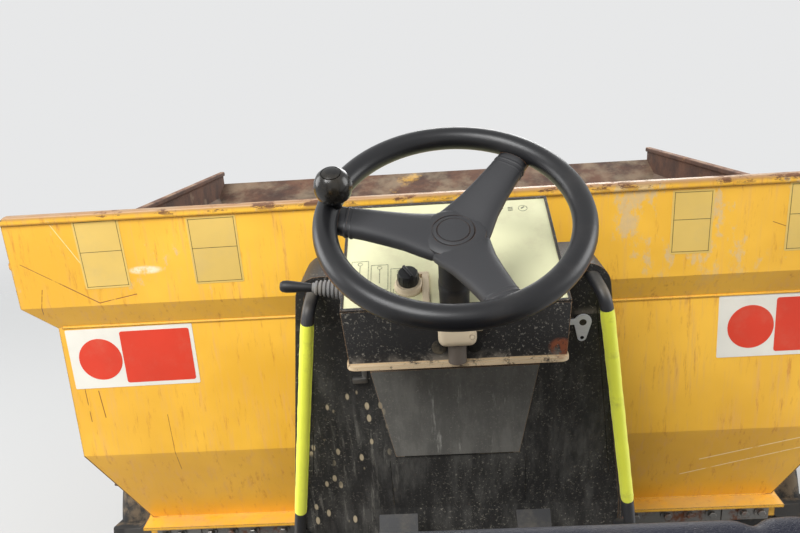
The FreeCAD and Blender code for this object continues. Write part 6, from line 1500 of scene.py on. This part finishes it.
class DUMPER_OT_rams(bpy.types.Operator):
    """Adds the gland rings, ports and rigid pipes of the two tip rams"""
    bl_idname = "dumper.rams"
    bl_label = "Ram fittings"

    def execute(self, context):
        for side, name in ((-1, "left"), (1, "right")):
            foot = Vector((side * 0.180, 0.330, 0.620))
            eye = Vector((side * 0.180, 1.050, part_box("tip_rod_" + name)[1][2] - 0.038))
            length = (eye - foot).length - 0.069
            self.dress(foot, eye, length, 0.042, "tip_barrel_" + name)
        return {"FINISHED"}

    @staticmethod
    def dress(foot, eye, length, radius, body):
        way = (eye - foot).normalized()
        at = stand(foot, way, X)
        gland = Shape()
        for start in (length - 0.030, length - 0.012):
            gland.turn([(radius + 0.0048, start), (radius + 0.0062, start + 0.001),
                        (radius + 0.0062, start + 0.005), (radius + 0.0048, start + 0.006)],
                       at, 40, closed=True)
        gland.done("gland_" + body, body, "bare_steel")
        pipe = Shape()
        lift = way.cross(X).normalized()
        if lift.z < 0:
            lift = -lift
        near, far = foot + way * 0.100, foot + way * (length - 0.040)
        for spot in (near, far):
            pipe.block((0.024, 0.024, 0.014), stand(spot + lift * (radius + 0.003), lift, X), 0.003)
            pipe.hexagon(stand(spot + lift * (radius + 0.009), lift, X), 0.016, 0.010, washer=False)
        pipe.tube([far + lift * (radius + 0.016), far + lift * (radius + 0.020) - way * 0.020,
                   near + lift * (radius + 0.020) + way * 0.060, near + lift * (radius + 0.020) + way * 0.020,
                   near + lift * (radius + 0.016)], 0.0045, sides=2)
        pipe.done("pipes_" + body, body, "bare_steel", look="zinc")


class StageSizes(bpy.types.PropertyGroup):
    floor_width: FloatProperty(name="Floor width", description="Side of the pale floor", default=60.0,
                               unit="LENGTH", min=10.0)
    key_power: FloatProperty(name="Key light", description="Power of the large lamp above and behind",
                             default=560.0, subtype="POWER", min=0.0)
    fill_power: FloatProperty(name="Fill light", description="Power of the side lamps", default=190.0,
                              subtype="POWER", min=0.0)
    sky: FloatProperty(name="Sky level", description="Strength of the even light from all round",
                       default=0.62, min=0.0)
    floor_colour: FloatVectorProperty(name="Floor colour", description="Colour of the floor", size=4,
                                      subtype="COLOR", default=(0.50, 0.50, 0.495, 1.0), min=0.0, max=1.0)
    backdrop: FloatVectorProperty(name="Backdrop colour", description="Plain colour seen behind the machine",
                                  size=4, subtype="COLOR", default=(0.80, 0.805, 0.81, 1.0), min=0.0, max=1.0)


class DUMPER_OT_stage(bpy.types.Operator):
    """Lays the floor, hangs the lamps and sets the camera where the photograph was taken"""
    bl_idname = "dumper.stage"
    bl_label = "Stage"

    def execute(self, context):
        sizes = context.scene.dumper_stage
        scene = context.scene
        scene.view_settings.view_transform = "Standard"
        bm = bmesh.new()
        bmesh.ops.create_grid(bm, x_segments=1, y_segments=1, size=sizes.floor_width / 2)
        mesh = bpy.data.meshes.new("floor")
        bm.to_mesh(mesh)
        bm.free()
        floor = bpy.data.objects.new("floor", mesh)
        scene.collection.objects.link(floor)
        f = Finish("floor_pale", Roughness=0.9, Specular_IOR_Level=0.1)
        x, y = f.part(f.place, "X"), f.part(f.place, "Y")
        far = ((x * x + y * y) ** 0.5).over(9.0, 3.2)
        f.tree.links.new(far.socket, f.surface.inputs["Alpha"])
        mesh.materials.append(f.set(colour=tuple(sizes.floor_colour)))
        # lamp: place, size, power
        lamps = {
            "key": ((-2.5, -4.0, 6.5), 4.0, sizes.key_power),
            "left": ((-6.0, 1.5, 3.5), 4.0, sizes.fill_power),
            "right": ((6.0, 0.5, 3.5), 4.0, sizes.fill_power),
            "front": ((1.5, 7.0, 4.0), 4.0, sizes.fill_power),
        }
        for name, (place, size, power) in lamps.items():
            lamp = bpy.data.lights.new(name, "AREA")
            lamp.shape = "DISK"
            lamp.size = size
            lamp.energy = power
            hung = bpy.data.objects.new(name, lamp)
            hung.matrix_world = aim(place, (0.0, 0.0, 1.0))
            scene.collection.objects.link(hung)
        world = bpy.data.worlds.new("sky")
        world.use_nodes = True
        nodes, links = world.node_tree.nodes, world.node_tree.links
        sky = nodes["Background"]
        sky.inputs["Color"].default_value = (0.94, 0.97, 1.0, 1.0)
        sky.inputs["Strength"].default_value = sizes.sky
        backdrop = nodes.new("ShaderNodeBackground")
        backdrop.inputs["Color"].default_value = sizes.backdrop
        seen = nodes.new("ShaderNodeLightPath")
        choice = nodes.new("ShaderNodeMixShader")
        shown = seen.outputs["Is Camera Ray"]
        for ray in ("Is Glossy Ray", "Is Transmission Ray"):
            either = nodes.new("ShaderNodeMath")
            either.operation = "MAXIMUM"
            links.new(shown, either.inputs[0])
            links.new(seen.outputs[ray], either.inputs[1])
            shown = either.outputs[0]
        links.new(shown, choice.inputs[0])
        links.new(sky.outputs[0], choice.inputs[1])
        links.new(backdrop.outputs[0], choice.inputs[2])
        links.new(choice.outputs[0], nodes["World Output"].inputs["Surface"])
        scene.world = world
        lens = bpy.data.cameras.new("camera")
        lens.lens = CAMERA_LENS
        lens.sensor_width = SENSOR
        lens.clip_start = 0.02
        eye = bpy.data.objects.new("camera", lens)
        eye.matrix_world = camera_matrix()
        scene.collection.objects.link(eye)
        scene.camera = eye
        return {"FINISHED"}


def camera_matrix():
    level = Vector((math.cos(CAMERA_YAW), math.sin(CAMERA_YAW), 0))
    ahead = Z.cross(level) * math.cos(CAMERA_PITCH) - Z * math.sin(CAMERA_PITCH)
    upright = level.cross(ahead)
    right = level * math.cos(CAMERA_ROLL) + upright * math.sin(CAMERA_ROLL)
    up = upright * math.cos(CAMERA_ROLL) - level * math.sin(CAMERA_ROLL)
    turn = Matrix((right, up, -ahead)).transposed()
    return Matrix.Translation(CAMERA_PLACE) @ turn.to_4x4()


class DUMPER_OT_finishes(bpy.types.Operator):
    """Gives every node of the frame the finish of its slot"""
    bl_idname = "dumper.finishes"
    bl_label = "Frame finishes"

    def execute(self, context):
        for piece in frame["record"]["subparts"]:
            mesh = frame["nodes"][piece["node"]].data
            mesh.materials.clear()
            mesh.materials.append(finish_of(OWN_FINISH.get(piece["node"], piece["material_slot"])))
        return {"FINISHED"}


class DUMPER_PT_panel(bpy.types.Panel):
    """Lists the dumper's pieces"""
    bl_idname = "DUMPER_PT_panel"
    bl_label = "Site dumper"
    bl_space_type = "VIEW_3D"
    bl_region_type = "UI"
    bl_category = "Dumper"

    def draw(self, context):
        for operator in OPERATORS:
            self.layout.operator(operator.bl_idname)


OPERATORS = (DUMPER_OT_stage, DUMPER_OT_finishes, DUMPER_OT_steering_wheel, DUMPER_OT_dash,
             DUMPER_OT_console, DUMPER_OT_sleeves, DUMPER_OT_lever, DUMPER_OT_signs, DUMPER_OT_skip_details,
             DUMPER_OT_tyres, DUMPER_OT_wheel_details, DUMPER_OT_seat, DUMPER_OT_seat_fittings,
             DUMPER_OT_beacon, DUMPER_OT_hoop, DUMPER_OT_fixings, DUMPER_OT_rams)
GROUPS = {"dumper_stage": StageSizes, "dumper_wheel": WheelSizes, "dumper_rails": RailSizes,
          "dumper_signs": SignSizes, "dumper_tyres": TyreSizes, "dumper_seat": SeatSizes}


def register():
    for name, group in GROUPS.items():
        bpy.utils.register_class(group)
        setattr(bpy.types.Scene, name, PointerProperty(type=group))
    for kind in OPERATORS + (DUMPER_PT_panel,):
        bpy.utils.register_class(kind)


def unregister():
    for kind in (DUMPER_PT_panel,) + OPERATORS[::-1]:
        bpy.utils.unregister_class(kind)
    for name, group in GROUPS.items():
        delattr(bpy.types.Scene, name)
        bpy.utils.unregister_class(group)


def main():
    register()
    for operator in OPERATORS:
        family, name = operator.bl_idname.split(".")
        getattr(getattr(bpy.ops, family), name)()


if __name__ == "__main__":
    main()
